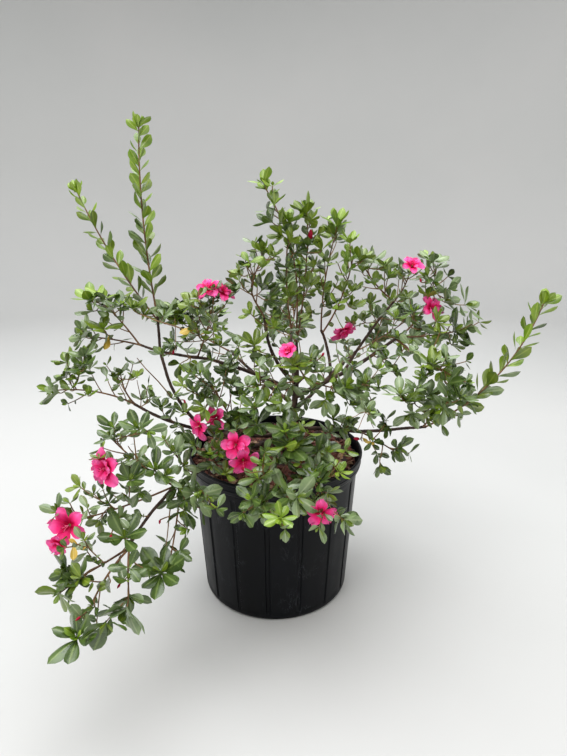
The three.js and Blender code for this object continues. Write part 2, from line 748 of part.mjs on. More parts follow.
// The twigs of a mass, one after another round its stem at the golden angle
function growTwigs(name, mass) {
  const first = mass.first ?? twig.first;
  for (let i = 0; i < mass.twigs; i += 1) {
    const random = randomOf(mass, i);
    const share = first + ((1 - first) * (i + drawn(random, [0, 0.5]))) / mass.twigs;
    const turn = (mass.seed + i) * goldenAngle + drawn(random, twig.turn);
    const lean = drawn(random, twig.lean);
    const length = mass.spread * (1 - twig.shortening * share) * drawn(random, twig.size);
    const way = leant(wayAt(stems[name], share), turn, lean);
    way.z += twig.lift;
    way.normalize();
    const limb = {
      heading: degrees(Math.atan2(way.y, way.x)),
      rise: degrees(Math.asin(way.z)),
      length,
      bow: twig.bow,
      veer: 0,
    };
    const path = pathOf(pointAt(stems[name], share), limb);
    const stations = [
      [twig.sleeve / length, twig.footRadius],
      [1 - twig.point / length, twig.tipRadius],
    ];
    const free = inOwnSpace(name, [path[bendSteps / 2], path[bendSteps]]);
    if (free && place(name, tubeSolid(path, stations, sides.twig), `twig${i}`, ['stem'])) {
      growWhorl(name, path, mass.leafLength, random, `whorl${i}`, `twig${i}`);
    }
  }
}

// Single leaves along a stem, smaller towards its tip
function growLoneLeaves(name, mass) {
  const random = randomOf(mass, mass.twigs + 1);
  const first = mass.first ?? lone.first;
  for (let i = 0; i < mass.lone; i += 1) {
    const share = first + ((1 - first) * i) / mass.lone;
    const taper = 1 - lone.shortening * share;
    const shape = {
      turn: (mass.seed + i) * goldenAngle + drawn(random, lone.turn),
      lean: lone.lean,
      length: mass.leafLength * leaf.scale * taper * drawn(random, lone.size),
      roll: drawn(random, lone.roll),
    };
    const way = wayAt(stems[name], share);
    growLeaf(name, pointAt(stems[name], share), way, shape, `lone${i}`, ['stem']);
  }
}

// A bloom: a stalk and the flower it ends in
function growBloom(name, [share, heading, rise, stalk], group) {
  const way = directionOf(heading, rise);
  const foot = pointAt(stems[name], share);
  const end = foot.clone().addScaledVector(way, stalk);
  const heart = end.clone().addScaledVector(way, -whorl.sink);
  const stations = [
    [twig.sleeve / stalk, bloom.stalkRadius],
    [1 - twig.point / stalk, bloom.stalkRadius],
  ];
  const stalkBody = tubeSolid([foot, end], stations, sides.twig);
  const body = stalkBody.add(flowerSolid(heart, way));
  if (place(name, body, group, ['stem'])) {
    addObstacle(body, name);
  }
}

// The blooms come first, then the leaves keep clear of them
for (const [name, mass] of Object.entries(masses)) {
  const stemBody = stemSolids[name];
  grown[name] = [{ solid: stemBody, box: stemBody.boundingBox(), group: 'stem' }];
  (mass.blooms ?? []).forEach((where, i) => growBloom(name, where, `bloom${i}`));
}

for (const [name, mass] of Object.entries(masses)) {
  growWhorl(name, stems[name], mass.leafLength, randomOf(mass, mass.twigs), 'end', 'stem');
  growTwigs(name, mass);
  growLoneLeaves(name, mass);
  const fused = wasm.Manifold.union(grown[name].map((piece) => piece.solid));
  root.add(meshOf(name, mainBody(fused), foliage));
}

export default root;
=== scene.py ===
import json
import math
import random

import bmesh
import bpy
import numpy as np
from mathutils import Matrix, Vector, noise


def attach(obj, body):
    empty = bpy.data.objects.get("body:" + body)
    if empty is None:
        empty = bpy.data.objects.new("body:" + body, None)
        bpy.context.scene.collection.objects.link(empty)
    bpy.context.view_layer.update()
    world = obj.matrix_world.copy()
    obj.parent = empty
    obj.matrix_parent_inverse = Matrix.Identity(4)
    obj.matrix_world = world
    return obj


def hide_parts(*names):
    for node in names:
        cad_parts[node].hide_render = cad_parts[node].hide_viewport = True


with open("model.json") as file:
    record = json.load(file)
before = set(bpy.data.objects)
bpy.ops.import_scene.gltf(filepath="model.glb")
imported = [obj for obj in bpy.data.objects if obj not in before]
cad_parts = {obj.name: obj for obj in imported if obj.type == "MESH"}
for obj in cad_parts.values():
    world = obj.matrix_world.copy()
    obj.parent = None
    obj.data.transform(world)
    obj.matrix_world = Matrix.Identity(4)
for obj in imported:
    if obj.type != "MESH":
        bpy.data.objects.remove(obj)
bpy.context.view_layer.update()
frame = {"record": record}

# A flowering azalea shrub in a black nursery pot. Everything is worked out in millimetres and
# brought to metres when a piece is finished.
mm = 0.001
scene = bpy.context.scene

camera = {
    'place': (13, -842, 628), 'pitchDown': 17.85, 'focalLength': 27.05, 'sensorWidth': 36,
}

eye = bpy.data.cameras.new('photoCamera')
eye.lens = camera['focalLength']
eye.sensor_width = camera['sensorWidth']
eye.clip_start, eye.clip_end = 0.02, 60
eyeObject = bpy.data.objects.new('photoCamera', eye)
eyeObject.location = Vector(camera['place']) * mm
eyeObject.rotation_euler = (math.radians(90 - camera['pitchDown']), 0, 0)
scene.collection.objects.link(eyeObject)
scene.camera = eyeObject
print('camera set')


# Materials

def colour(hexCode):
    parts = [int(hexCode[i:i + 2], 16) / 255 for i in (1, 3, 5)]
    linear = [c / 12.92 if c <= 0.04045 else ((c + 0.055) / 1.055) ** 2.4 for c in parts]
    return (*linear, 1)


def addNode(tree, kind, settings={}, links={}):
    node = tree.nodes.new(kind)
    for key, value in settings.items():
        if key == 'stops':  # a ramp's stops: place and colour
            while len(node.color_ramp.elements) < len(value):
                node.color_ramp.elements.new(0.5)
            for element, (place, tint) in zip(node.color_ramp.elements, value):
                element.position = place
                element.color = colour(tint)
        elif isinstance(key, int) or key in node.inputs:
            node.inputs[key].default_value = value
        else:
            setattr(node, key, value)
    for key, socket in links.items():
        tree.links.new(socket, node.inputs[key])
    return node


def newMaterial(name):
    material = bpy.data.materials.new(name)
    material.use_nodes = True
    tree = material.node_tree
    return material, tree, tree.nodes['Principled BSDF']


def perMetre(size):  # how often a pattern of this many millimetres repeats in a metre
    return 1000 / size


def mouldedPolyethylene():
    # black HDPE, blow moulded: a dull skin with a soft sheen, clouds of dust and faint scuffs
    material, tree, shader = newMaterial('blowMouldedPolyethylene')
    place = addNode(tree, 'ShaderNodeTexCoord').outputs['Object']
    cloud = addNode(tree, 'ShaderNodeTexNoise', {'Scale': perMetre(60), 'Detail': 5}, {'Vector': place})
    dust = addNode(tree, 'ShaderNodeValToRGB', {
        'stops': [(0.3, '#030406'), (0.62, '#05070c'), (0.85, '#0d1016')],
    }, {'Fac': cloud.outputs['Fac']})
    stretched = addNode(tree, 'ShaderNodeMapping', {'Scale': (1, 1, 0.35), 'Rotation': (0.5, 0.3, 0)},
                        {'Vector': place})
    scratches = addNode(tree, 'ShaderNodeTexNoise', {
        'Scale': perMetre(16), 'Detail': 8, 'Roughness': 0.62, 'Distortion': 1.4,
    }, {'Vector': stretched.outputs['Vector']})
    thin = addNode(tree, 'ShaderNodeValToRGB', {
        'stops': [(0.485, '#000000'), (0.5, '#ffffff'), (0.515, '#000000')],
    }, {'Fac': scratches.outputs['Fac']})
    patches = addNode(tree, 'ShaderNodeTexNoise', {'Scale': perMetre(45), 'Detail': 2}, {'Vector': place})
    where = addNode(tree, 'ShaderNodeMapRange', {
        'From Min': 0.52, 'From Max': 0.68, 'To Min': 0, 'To Max': 0.36,
    }, {'Value': patches.outputs['Fac']})
    marks = addNode(tree, 'ShaderNodeMath', {'operation': 'MULTIPLY'},
                    {0: thin.outputs['Color'], 1: where.outputs['Result']})
    scuffed = addNode(tree, 'ShaderNodeMix', {'data_type': 'RGBA', 7: colour('#5c6066')},
                      {0: marks.outputs['Value'], 6: dust.outputs['Color']})
    tree.links.new(scuffed.outputs[2], shader.inputs['Base Color'])
    sheen = addNode(tree, 'ShaderNodeMapRange', {
        'From Min': 0.3, 'From Max': 0.75, 'To Min': 0.34, 'To Max': 0.5,
    }, {'Value': cloud.outputs['Fac']})
    tree.links.new(sheen.outputs['Result'], shader.inputs['Roughness'])
    # the skin's grain, drawn coarser than life so that it shows
    grain = addNode(tree, 'ShaderNodeTexNoise', {'Scale': perMetre(1.6), 'Detail': 3}, {'Vector': place})
    skin = addNode(tree, 'ShaderNodeBump', {'Strength': 0.12, 'Distance': 0.0004},
                   {'Height': grain.outputs['Fac']})
    tree.links.new(skin.outputs['Normal'], shader.inputs['Normal'])
    shader.inputs['IOR'].default_value = 1.54
    shader.inputs['Specular IOR Level'].default_value = 0.13
    return material


def shreddedPineBark(name, dark, middle, light):
    # pine bark, torn and weathered: fibrous, dull, each chip darker along its grain
    material, tree, shader = newMaterial(name)
    place = addNode(tree, 'ShaderNodeTexCoord').outputs['Object']
    blotches = addNode(tree, 'ShaderNodeTexNoise', {
        'Scale': perMetre(9), 'Detail': 6, 'Roughness': 0.65,
    }, {'Vector': place})
    tint = addNode(tree, 'ShaderNodeValToRGB', {
        'stops': [(0.3, dark), (0.52, middle), (0.74, light)],
    }, {'Fac': blotches.outputs['Fac']})
    tree.links.new(tint.outputs['Color'], shader.inputs['Base Color'])
    # torn fibres, drawn coarser than life so that they show
    fibres = addNode(tree, 'ShaderNodeTexNoise', {
        'Scale': perMetre(1.8), 'Detail': 4, 'Roughness': 0.7,
    }, {'Vector': place})
    torn = addNode(tree, 'ShaderNodeBump', {'Strength': 0.6, 'Distance': 0.001},
                   {'Height': fibres.outputs['Fac']})
    tree.links.new(torn.outputs['Normal'], shader.inputs['Normal'])
    shader.inputs['Roughness'].default_value = 0.85
    return material


def azaleaBark(name, dark, middle, light, roughness):
    # thin azalea bark: dark and finely split on old wood, smooth and tan on the year's growth
    material, tree, shader = newMaterial(name)
    place = addNode(tree, 'ShaderNodeTexCoord').outputs['Object']
    patches = addNode(tree, 'ShaderNodeTexNoise', {
        'Scale': perMetre(14), 'Detail': 6, 'Roughness': 0.6,
    }, {'Vector': place})
    tint = addNode(tree, 'ShaderNodeValToRGB', {
        'stops': [(0.32, dark), (0.52, middle), (0.72, light)],
    }, {'Fac': patches.outputs['Fac']})
    tree.links.new(tint.outputs['Color'], shader.inputs['Base Color'])
    # splits in the bark, drawn coarser than life so that they show
    splits = addNode(tree, 'ShaderNodeTexNoise', {
        'Scale': perMetre(1.4), 'Detail': 5, 'Roughness': 0.7,
    }, {'Vector': place})
    relief = addNode(tree, 'ShaderNodeBump', {'Strength': 0.5, 'Distance': 0.0006},
                     {'Height': splits.outputs['Fac']})
    tree.links.new(relief.outputs['Normal'], shader.inputs['Normal'])
    shader.inputs['Roughness'].default_value = roughness
    return material


def leatheryLeaf(name, dark, middle, rib, roughness):
    # azalea leaf: a leathery blade with a soft gloss, cloudy in tone, with a paler midrib
    material, tree, shader = newMaterial(name)
    place = addNode(tree, 'ShaderNodeTexCoord')
    clouds = addNode(tree, 'ShaderNodeTexNoise', {
        'Scale': perMetre(24), 'Detail': 3, 'Roughness': 0.55,
    }, {'Vector': place.outputs['Object']})
    tone = addNode(tree, 'ShaderNodeMapRange', {'From Min': 0.35, 'From Max': 0.65},
                   {'Value': clouds.outputs['Fac']})
    blade = addNode(tree, 'ShaderNodeMix', {'data_type': 'RGBA', 6: colour(dark), 7: colour(middle)},
                    {0: tone.outputs['Result']})
    across = addNode(tree, 'ShaderNodeSeparateXYZ', {}, {0: place.outputs['UV']})
    offCentre = addNode(tree, 'ShaderNodeMath', {'operation': 'SUBTRACT', 1: 0.5},
                        {0: across.outputs['X']})
    fromRib = addNode(tree, 'ShaderNodeMath', {'operation': 'ABSOLUTE'}, {0: offCentre.outputs['Value']})
    ribLine = addNode(tree, 'ShaderNodeMapRange', {
        'From Min': 0.02, 'From Max': 0.1, 'To Min': 0.55, 'To Max': 0,
    }, {'Value': fromRib.outputs['Value']})
    ribbed = addNode(tree, 'ShaderNodeMix', {'data_type': 'RGBA', 7: colour(rib)},
                     {0: ribLine.outputs['Result'], 6: blade.outputs[2]})
    tree.links.new(ribbed.outputs[2], shader.inputs['Base Color'])
    gloss = addNode(tree, 'ShaderNodeMapRange', {
        'From Min': 0.3, 'From Max': 0.7, 'To Min': roughness - 0.06, 'To Max': roughness + 0.1,
    }, {'Value': clouds.outputs['Fac']})
    tree.links.new(gloss.outputs['Result'], shader.inputs['Roughness'])
    # the blade's fine grain, drawn coarser than life so that it shows
    pores = addNode(tree, 'ShaderNodeTexNoise', {'Scale': perMetre(2.2), 'Detail': 2},
                    {'Vector': place.outputs['Object']})
    skin = addNode(tree, 'ShaderNodeBump', {'Strength': 0.22, 'Distance': 0.0005},
                   {'Height': pores.outputs['Fac']})
    tree.links.new(skin.outputs['Normal'], shader.inputs['Normal'])
    shader.inputs['IOR'].default_value = 1.48
    shader.inputs['Specular IOR Level'].default_value = 0.9
    return material


def azaleaPetal(name, throat, middle, edge):
    # azalea petal: a thin, silky sheet, deepest in the throat and a shade lighter at its edge
    material, tree, shader = newMaterial(name)
    place = addNode(tree, 'ShaderNodeTexCoord')
    along = addNode(tree, 'ShaderNodeSeparateXYZ', {}, {0: place.outputs['UV']})
    ripple = addNode(tree, 'ShaderNodeTexNoise', {'Scale': perMetre(5), 'Detail': 3},
                     {'Vector': place.outputs['Object']})
    swayed = addNode(tree, 'ShaderNodeMath', {'operation': 'MULTIPLY_ADD', 1: 0.3},
                     {0: ripple.outputs['Fac'], 2: along.outputs['Y']})
    tint = addNode(tree, 'ShaderNodeValToRGB', {
        'stops': [(0.25, throat), (0.6, middle), (1, edge)],
    }, {'Fac': swayed.outputs['Value']})
    tree.links.new(tint.outputs['Color'], shader.inputs['Base Color'])
    # fine creases, drawn coarser than life so that they show
    crease = addNode(tree, 'ShaderNodeTexNoise', {'Scale': perMetre(2.5), 'Detail': 3},
                     {'Vector': place.outputs['Object']})
    silk = addNode(tree, 'ShaderNodeBump', {'Strength': 0.3, 'Distance': 0.0006},
                   {'Height': crease.outputs['Fac']})
    tree.links.new(silk.outputs['Normal'], shader.inputs['Normal'])
    shader.inputs['Roughness'].default_value = 0.6
    shader.inputs['Specular IOR Level'].default_value = 0.2
    shader.inputs['Subsurface Weight'].default_value = 0.12
    shader.inputs['Subsurface Radius'].default_value = (0.003, 0.001, 0.001)
    return material


def paintedFloor():
    # studio floor: matt pale paint with a hardly seen unevenness
    material, tree, shader = newMaterial('mattPaint')
    place = addNode(tree, 'ShaderNodeTexCoord').outputs['Object']
    clouds = addNode(tree, 'ShaderNodeTexNoise', {'Scale': perMetre(900), 'Detail': 3}, {'Vector': place})
    tint = addNode(tree, 'ShaderNodeValToRGB', {
        'stops': [(0.3, '#c9c9c7'), (0.7, '#cecdcb')],
    }, {'Fac': clouds.outputs['Fac']})
    tree.links.new(tint.outputs['Color'], shader.inputs['Base Color'])
    shader.inputs['Roughness'].default_value = 0.8
    return material


finishes = {
    'pot': mouldedPolyethylene(),
    'bed': shreddedPineBark('mulchBed', '#20120d', '#38201a', '#523428'),
    'redChip': shreddedPineBark('redBarkChip', '#3a1d16', '#633426', '#86533d'),
    'tanChip': shreddedPineBark('tanBarkChip', '#6a4a38', '#967459', '#c4a68a'),
    'darkChip': shreddedPineBark('darkBarkChip', '#1c100c', '#35201a', '#50342a'),
    'oldWood': azaleaBark('oldBark', '#2c1f1a', '#463329', '#6b5344', 0.8),
    'stem': azaleaBark('secondYearBark', '#54382a', '#7b5638', '#a07c52', 0.7),
    'twig': azaleaBark('youngBark', '#5d4029', '#84613c', '#a68654', 0.6),
    'deep': leatheryLeaf('deepGreenLeaf', '#304614', '#556e2a', '#869a52', 0.27),
    # grey-green leaves: their paler colour is partly real dust and partly a painted sheen, standing in for
    # the pale highlights of leaves that catch the light
    'dusty': leatheryLeaf('greyGreenLeafWithPaintedSheen', '#5c7145', '#889c69', '#acba8c', 0.29),
    'mid': leatheryLeaf('midGreenLeaf', '#4d680c', '#768c1c', '#a2b24a', 0.31),
    'lime': leatheryLeaf('limeLeaf', '#628410', '#8aa624', '#b6c862', 0.35),
    'yellow': leatheryLeaf('yellowingLeaf', '#b8901c', '#d4b23c', '#e2cc74', 0.5),
    'petal': azaleaPetal('hotPinkPetal', '#d0044c', '#ff2e86', '#ff6cb2'),
    'bud': azaleaPetal('crimsonBud', '#a80f34', '#cc1744', '#e63a68'),
    'stamen': azaleaPetal('pinkFilament', '#d81a58', '#ee4d86', '#f58ab0'),
}
floorPaint = paintedFloor()
print('materials made')


# Pieces

massNames = [row['node'] for row in frame['record']['subparts'] if row['material_slot'] == 'foliage']
limbNames = [row['node'] for row in frame['record']['subparts'] if row['material_slot'] == 'wood']


# A mesh in millimetres becomes a piece in metres, on the part's one body
def finishPiece(name, mesh, finish, nodes=()):
    mesh.transform(Matrix.Scale(mm, 4))
    mesh.materials.clear()
    mesh.materials.append(finish)
    mesh.name = name
    piece = bpy.data.objects.new(name, mesh)
    scene.collection.objects.link(piece)
    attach(piece, 'root')
    if nodes:
        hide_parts(*nodes)


def meshFrom(bm, smooth=True):
    mesh = bpy.data.meshes.new('shape')
    for face in bm.faces:
        face.smooth = smooth
    bm.to_mesh(mesh)
    bm.free()
    return mesh


# Copies of small shapes, each with its own place, in one mesh
def joinedCopies(copies):
    corners, faces, faceMap = [], [], []
    start = 0
    for shape, places in copies:
        if not places:
            continue
        own = np.empty(len(shape.vertices) * 3)
        shape.vertices.foreach_get('co', own)
        own = own.reshape(-1, 3)
        loops = np.array([list(face.vertices) for face in shape.polygons])
        turns = np.array([[list(row) for row in place] for place in places])
        moved = np.einsum('pij,vj->pvi', turns[:, :3, :3], own) + turns[:, None, :3, 3]
        corners.append(moved.reshape(-1, 3))
        offsets = start + np.arange(len(places)) * len(own)
        faces.append((loops[None] + offsets[:, None, None]).reshape(-1, loops.shape[1]))
        if shape.uv_layers:
            own = np.empty(len(shape.loops) * 2)
            shape.uv_layers[0].data.foreach_get('uv', own)
            faceMap.append(np.tile(own, len(places)))
        start += len(places) * len(shape.vertices)
    mesh = bpy.data.meshes.new('joined')
    mesh.from_pydata(np.concatenate(corners).tolist(), [], np.concatenate(faces).tolist())
    if faceMap:
        layer = mesh.uv_layers.new(name='bladeMap')
        layer.data.foreach_set('uv', np.concatenate(faceMap))
    mesh.polygons.foreach_set('use_smooth', np.ones(len(mesh.polygons), bool))
    mesh.update()
    return mesh


# Pot

pot = {
    'height': 240, 'baseRadius': 119.5, 'wallTopRadius': 132, 'rimRadius': 139.5, 'bandHeight': 24,
    'wall': 3, 'floor': 5, 'corner': 6, 'panels': 16, 'panelTurn': 0.78, 'panelFlatness': 0.7,
    'grooveDepth': 1.9, 'grooveReach': 1.5, 'grooveFoot': 13, 'grooveTop': 209, 'grooveFade': 4,
    'columnsPerPanel': 12, 'columnAngles': [0, 1.15, 1.75, 2.5, 4.8, 8, 11.25],
    'drains': 6, 'drainRadius': 8, 'drainRing': 96,
    # the outline in parts, as radius and height: the foot ring's radii are counted from the base's, and
    # the rim's from the rim's, with its heights from the foot of the band
    'recess': [(0, 2.5), (80, 2.5)],
    'footRing': [(-16, 2.2), (-13, 0.3), (-10, 0)],
    'wallRows': [9, 11, 13, 15, 17, 20, 60, 100, 140, 180, 200, 204, 207, 209, 211, 213],
    'rim': [(-4, 2), (-2.6, 3.4), (-2, 5.5), (-1.9, 8), (-1.4, 8.6), (-1.4, 10), (-1.9, 10.6), (-1.5, 16),
            (-1.4, 18.6), (-0.4, 19.4), (0, 20.6), (0, 22), (-0.6, 23.4), (-1.8, 24), (-3.2, 23.6),
            (-4, 22.6), (-5, 12), (-6, 5.5)],
}


def potSection():
    base, wallTop, wall, corner = (pot[key] for key in ('baseRadius', 'wallTopRadius', 'wall', 'corner'))
    band = pot['height'] - pot['bandHeight']
    slope = (wallTop - base) / (band - corner)
    section = pot['recess'] + [(base + out, up) for out, up in pot['footRing']] + [(base - corner, 0)]
    for step in range(1, 5):  # rounded foot
        turn = math.radians(step * 22.5)
        section.append((base - corner * (1 - math.sin(turn)), corner * (1 - math.cos(turn))))
    section += [(base + slope * (height - corner), height) for height in pot['wallRows']]
    section += [(wallTop, band), (wallTop + 1.2, band + 0.6)]
    section += [(pot['rimRadius'] + out, band + up) for out, up in pot['rim']]
    section += [(wallTop - 1.8, band + 3.4), (wallTop - wall, band), (base - wall, corner + 1.5),
                (base - 5, corner - 0.5), (base - 9, pot['floor']), (0, pot['floor'])]
    return section


def spunSection(section, steps):
    bm = bmesh.new()
    row = [bm.verts.new((radius, 0, height)) for radius, height in section]
    edges = [bm.edges.new(pair) for pair in zip(row, row[1:])]
    bmesh.ops.spin(bm, geom=row + edges, cent=(0, 0, 0), axis=(0, 0, 1), angle=2 * math.pi,
                   steps=steps, use_merge=True, use_duplicate=False)
    bmesh.ops.remove_doubles(bm, verts=bm.verts, dist=0.01)
    bmesh.ops.recalc_face_normals(bm, faces=bm.faces)
    return bm


def smoothStep(low, high, value):
    share = min(max((value - low) / (high - low), 0), 1)
    return share * share * (3 - 2 * share)


# Presses the grooves in, flattens the panels between them, and turns them to where the photo has them
def pressPanels(bm):
    panelAngle = 360 / pot['panels']
    columns = pot['columnsPerPanel']
    foot, top, fade = pot['grooveFoot'], pot['grooveTop'], pot['grooveFade']
    for vert in bm.verts:
        radius = math.hypot(vert.co.x, vert.co.y)
        if radius < 1:
            continue
        column = round(math.degrees(math.atan2(vert.co.y, vert.co.x)) / panelAngle * columns)
        panel = math.floor((column + columns // 2) / columns)
        step = column - panel * columns
        fromGroove = pot['columnAngles'][abs(step)]
        if radius > pot['baseRadius'] - 1.5 and vert.co.z < top + 1:  # on the outside of the wall
            ends = smoothStep(foot - fade, foot + 1, vert.co.z)
            ends *= 1 - smoothStep(top - fade, top, vert.co.z)
            if fromGroove < pot['grooveReach']:
                radius -= pot['grooveDepth'] * ends
            bow = (fromGroove / (panelAngle / 2)) ** 2
            radius -= pot['panelFlatness'] * bow * ends
        turn = math.radians((panel + pot['panelTurn']) * panelAngle + math.copysign(fromGroove, step))
        vert.co.x, vert.co.y = radius * math.cos(turn), radius * math.sin(turn)


def drainCutter():
    bm = bmesh.new()
    for drain in range(pot['drains']):
        turn = math.radians((drain + 0.5) * 360 / pot['drains'])
        centre = (pot['drainRing'] * math.cos(turn), pot['drainRing'] * math.sin(turn), 3)
        bmesh.ops.create_cone(bm, cap_ends=True, segments=24, radius1=pot['drainRadius'],
                              radius2=pot['drainRadius'], depth=12, matrix=Matrix.Translation(centre))
    return meshFrom(bm, smooth=False)


def withoutDrains(mesh):
    shell = bpy.data.objects.new('shell', mesh)
    cutter = bpy.data.objects.new('cutter', drainCutter())
    scene.collection.objects.link(shell)
    scene.collection.objects.link(cutter)
    cut = shell.modifiers.new('drains', 'BOOLEAN')
    cut.object = cutter
    cut.operation = 'DIFFERENCE'
    cut.solver = 'EXACT'
    cutMesh = bpy.data.meshes.new_from_object(shell.evaluated_get(bpy.context.evaluated_depsgraph_get()))
    bpy.data.objects.remove(shell)
    bpy.data.objects.remove(cutter)
    return cutMesh


shell = spunSection(potSection(), pot['panels'] * pot['columnsPerPanel'])
pressPanels(shell)
potMesh = withoutDrains(meshFrom(shell))
potMesh.set_sharp_from_angle(angle=math.radians(40))
finishPiece('potShell', potMesh, finishes['pot'], ['pot'])
print('pot made')


# Mulch

mulch = {
    'apart': 0.6, 'edgeHeight': 222, 'centreHeight': 227, 'unevenness': 2.2, 'lump': 26, 'rings': 24,
    'chips': 2400, 'chipLength': (8, 21), 'chipWidth': (0.32, 0.66), 'chipThickness': (0.15, 0.32),
    'chipTip': (0.35, 0.8), 'chipRoughness': 0.11, 'chipBow': 0.35, 'chipTilt': (0.35, 0.3),
    'shares': {'redChip': 0.56, 'darkChip': 0.28, 'tanChip': 0.16},
    'clearOfWall': 5, 'pile': 6.5, 'shapes': 7, 'seed': 7,
}


def bedHeight(x, y):
    reach = math.hypot(x, y) / (pot['wallTopRadius'] - pot['wall'])
    level = mulch['centreHeight'] + (mulch['edgeHeight'] - mulch['centreHeight']) * reach ** 3
    return level + mulch['unevenness'] * noise.noise(Vector((x, y, 0)) / mulch['lump'])


def mulchBed():
    wallTop = pot['wallTopRadius'] - pot['wall'] - mulch['apart']
    section = [(0, 5.6), (100, 5.6), (pot['baseRadius'] - 9.4, 5.8),
               (pot['baseRadius'] - pot['wall'] - mulch['apart'], 9),
               (wallTop, pot['height'] - pot['bandHeight']), (wallTop, mulch['edgeHeight'])]
    for ring in range(1, mulch['rings'] + 1):
        section.append((wallTop * (1 - ring / mulch['rings']), mulch['edgeHeight'] + 3))
    bm = spunSection(section, 96)
    for vert in bm.verts:
        if vert.co.z > mulch['edgeHeight'] + 1:
            vert.co.z = bedHeight(vert.co.x, vert.co.y)
    return meshFrom(bm)


# A chip of bark one unit long: a block with narrowed ends, rough all over and a little bowed
def barkChip(draws):
    bm = bmesh.new()
    bmesh.ops.create_cube(bm, size=1)
    bmesh.ops.subdivide_edges(bm, edges=bm.edges, cuts=1, use_grid_fill=True)
    tip = draws.uniform(*mulch['chipTip'])
    rough = mulch['chipRoughness']
    for vert in bm.verts:
        vert.co.y *= 1 - (1 - tip) * abs(vert.co.x) * 2
        vert.co += Vector([draws.uniform(-rough, rough) for _ in range(3)])
        vert.co.z += mulch['chipBow'] * vert.co.x * vert.co.x
    return meshFrom(bm, smooth=False)


def scatterChips():
    draws = random.Random(mulch['seed'])
    shapes = [barkChip(draws) for _ in range(mulch['shapes'])]
    shares = mulch['shares']
    placed = {kind: [[] for _ in shapes] for kind in shares}
    reach = pot['wallTopRadius'] - pot['wall'] - mulch['clearOfWall']
    for _ in range(mulch['chips']):
        distance = reach * math.sqrt(draws.random())
        turn = draws.uniform(0, 2 * math.pi)
        x, y = distance * math.cos(turn), distance * math.sin(turn)
        length = draws.uniform(*mulch['chipLength'])
        size = (length, length * draws.uniform(*mulch['chipWidth']),
                length * draws.uniform(*mulch['chipThickness']))
        lie = Matrix.Rotation(draws.uniform(0, 2 * math.pi), 4, 'Z')
        for axis, tilt in zip('XY', mulch['chipTilt']):
            lie = lie @ Matrix.Rotation(draws.gauss(0, tilt), 4, axis)
        height = bedHeight(x, y) + draws.random() ** 2 * mulch['pile']
        place = Matrix.Translation((x, y, height)) @ lie @ Matrix.Diagonal((*size, 1))
        kind = draws.choices(list(shares), shares.values())[0]
        placed[kind][draws.randrange(len(shapes))].append(place)
    for kind, lots in placed.items():
        mesh = joinedCopies(list(zip(shapes, lots)))
        mesh.polygons.foreach_set('use_smooth', np.zeros(len(mesh.polygons), bool))
        finishPiece(kind + 's', mesh, finishes[kind])


finishPiece('mulchBed', mulchBed(), finishes['bed'], ['mulch'])
scatterChips()
print('mulch made')


# Limbs

# Each limb springs from a share of the way along another. Heading is degrees in plan from +X
# towards +Y, rise is degrees above level, bow and veer are what rise and heading change by.
trunk = {
    'foot': (12, 13, 228.3), 'heading': 34, 'rise': 67, 'length': 183, 'bow': 30, 'veer': 5,
    'radius': (7, 3), 'flare': 4.5, 'flareFade': 14, 'sunk': 6,
}
boughColumns = ['from', 'at', 'heading', 'rise', 'length', 'bow', 'veer', 'radius']
boughs = {
    'leftBough': ['trunk', 0.52, 195, 37, 171, -25, -9, (3.6, 2.4)],
    'leftReach': ['leftBough', 1, 178, 3, 92, 18, -4, (2.3, 1.9)],
    'lowLeftBough': ['trunk', 0.16, 183, -8, 257, 46, 12, (3.8, 2.1)],
    'tallLeftBough': ['lowLeftBough', 0.5, 193, 40, 209, 50, -87, (2.8, 2.1)],
    'frontLeftBough': ['trunk', 0.12, 222, 8, 223, -18, 7, (3.8, 2.4)],
    'dropBough': ['frontLeftBough', 1, 237, -16, 113, -9, 14, (2.3, 1.9)],
    'topLeftBough': ['trunk', 0.62, 213, 40, 135, 44, 11, (3.2, 2.2)],
    'rightBough': ['trunk', 0.5, 347, 28, 200, 14, -8, (3.8, 2.3)],
    'topRightBough': ['rightBough', 0.33, 78, 74, 81, -11, 82, (2.6, 2.1)],
    'rightThinBough': ['rightBough', 0.45, 27, 56, 142, -17, 6, (2.4, 1.8)],
    'lowRightBough': ['trunk', 0.2, 323, 17, 124, -17, 21, (3.6, 2.6)],
    'lowRightReach': ['lowRightBough', 1, 349, 9, 99, 2, -3, (2.5, 2.1)],
    'frontBough': ['trunk', 0.2, 266, -8, 107, 20, 19, (3.2, 2.3)],
    'frontPinkBough': ['trunk', 0.26, 221, -8, 113, 31, 5, (3, 2.1)],
    'heartBough': ['trunk', 0.6, 283, 41, 70, -26, -2, (2.8, 2.1)],
    'backLeftBough': ['trunk', 0.42, 137, 20, 165, 8, 6, (3.4, 2.2)],
    'backBough': ['trunk', 0.56, 97, 26, 165, -6, -10, (3.4, 2.2)],
    'backRightBough': ['trunk', 0.36, 48, 22, 175, 4, -6, (3.4, 2.2)],
}
boughs = {name: dict(zip(boughColumns, row)) for name, row in boughs.items()}

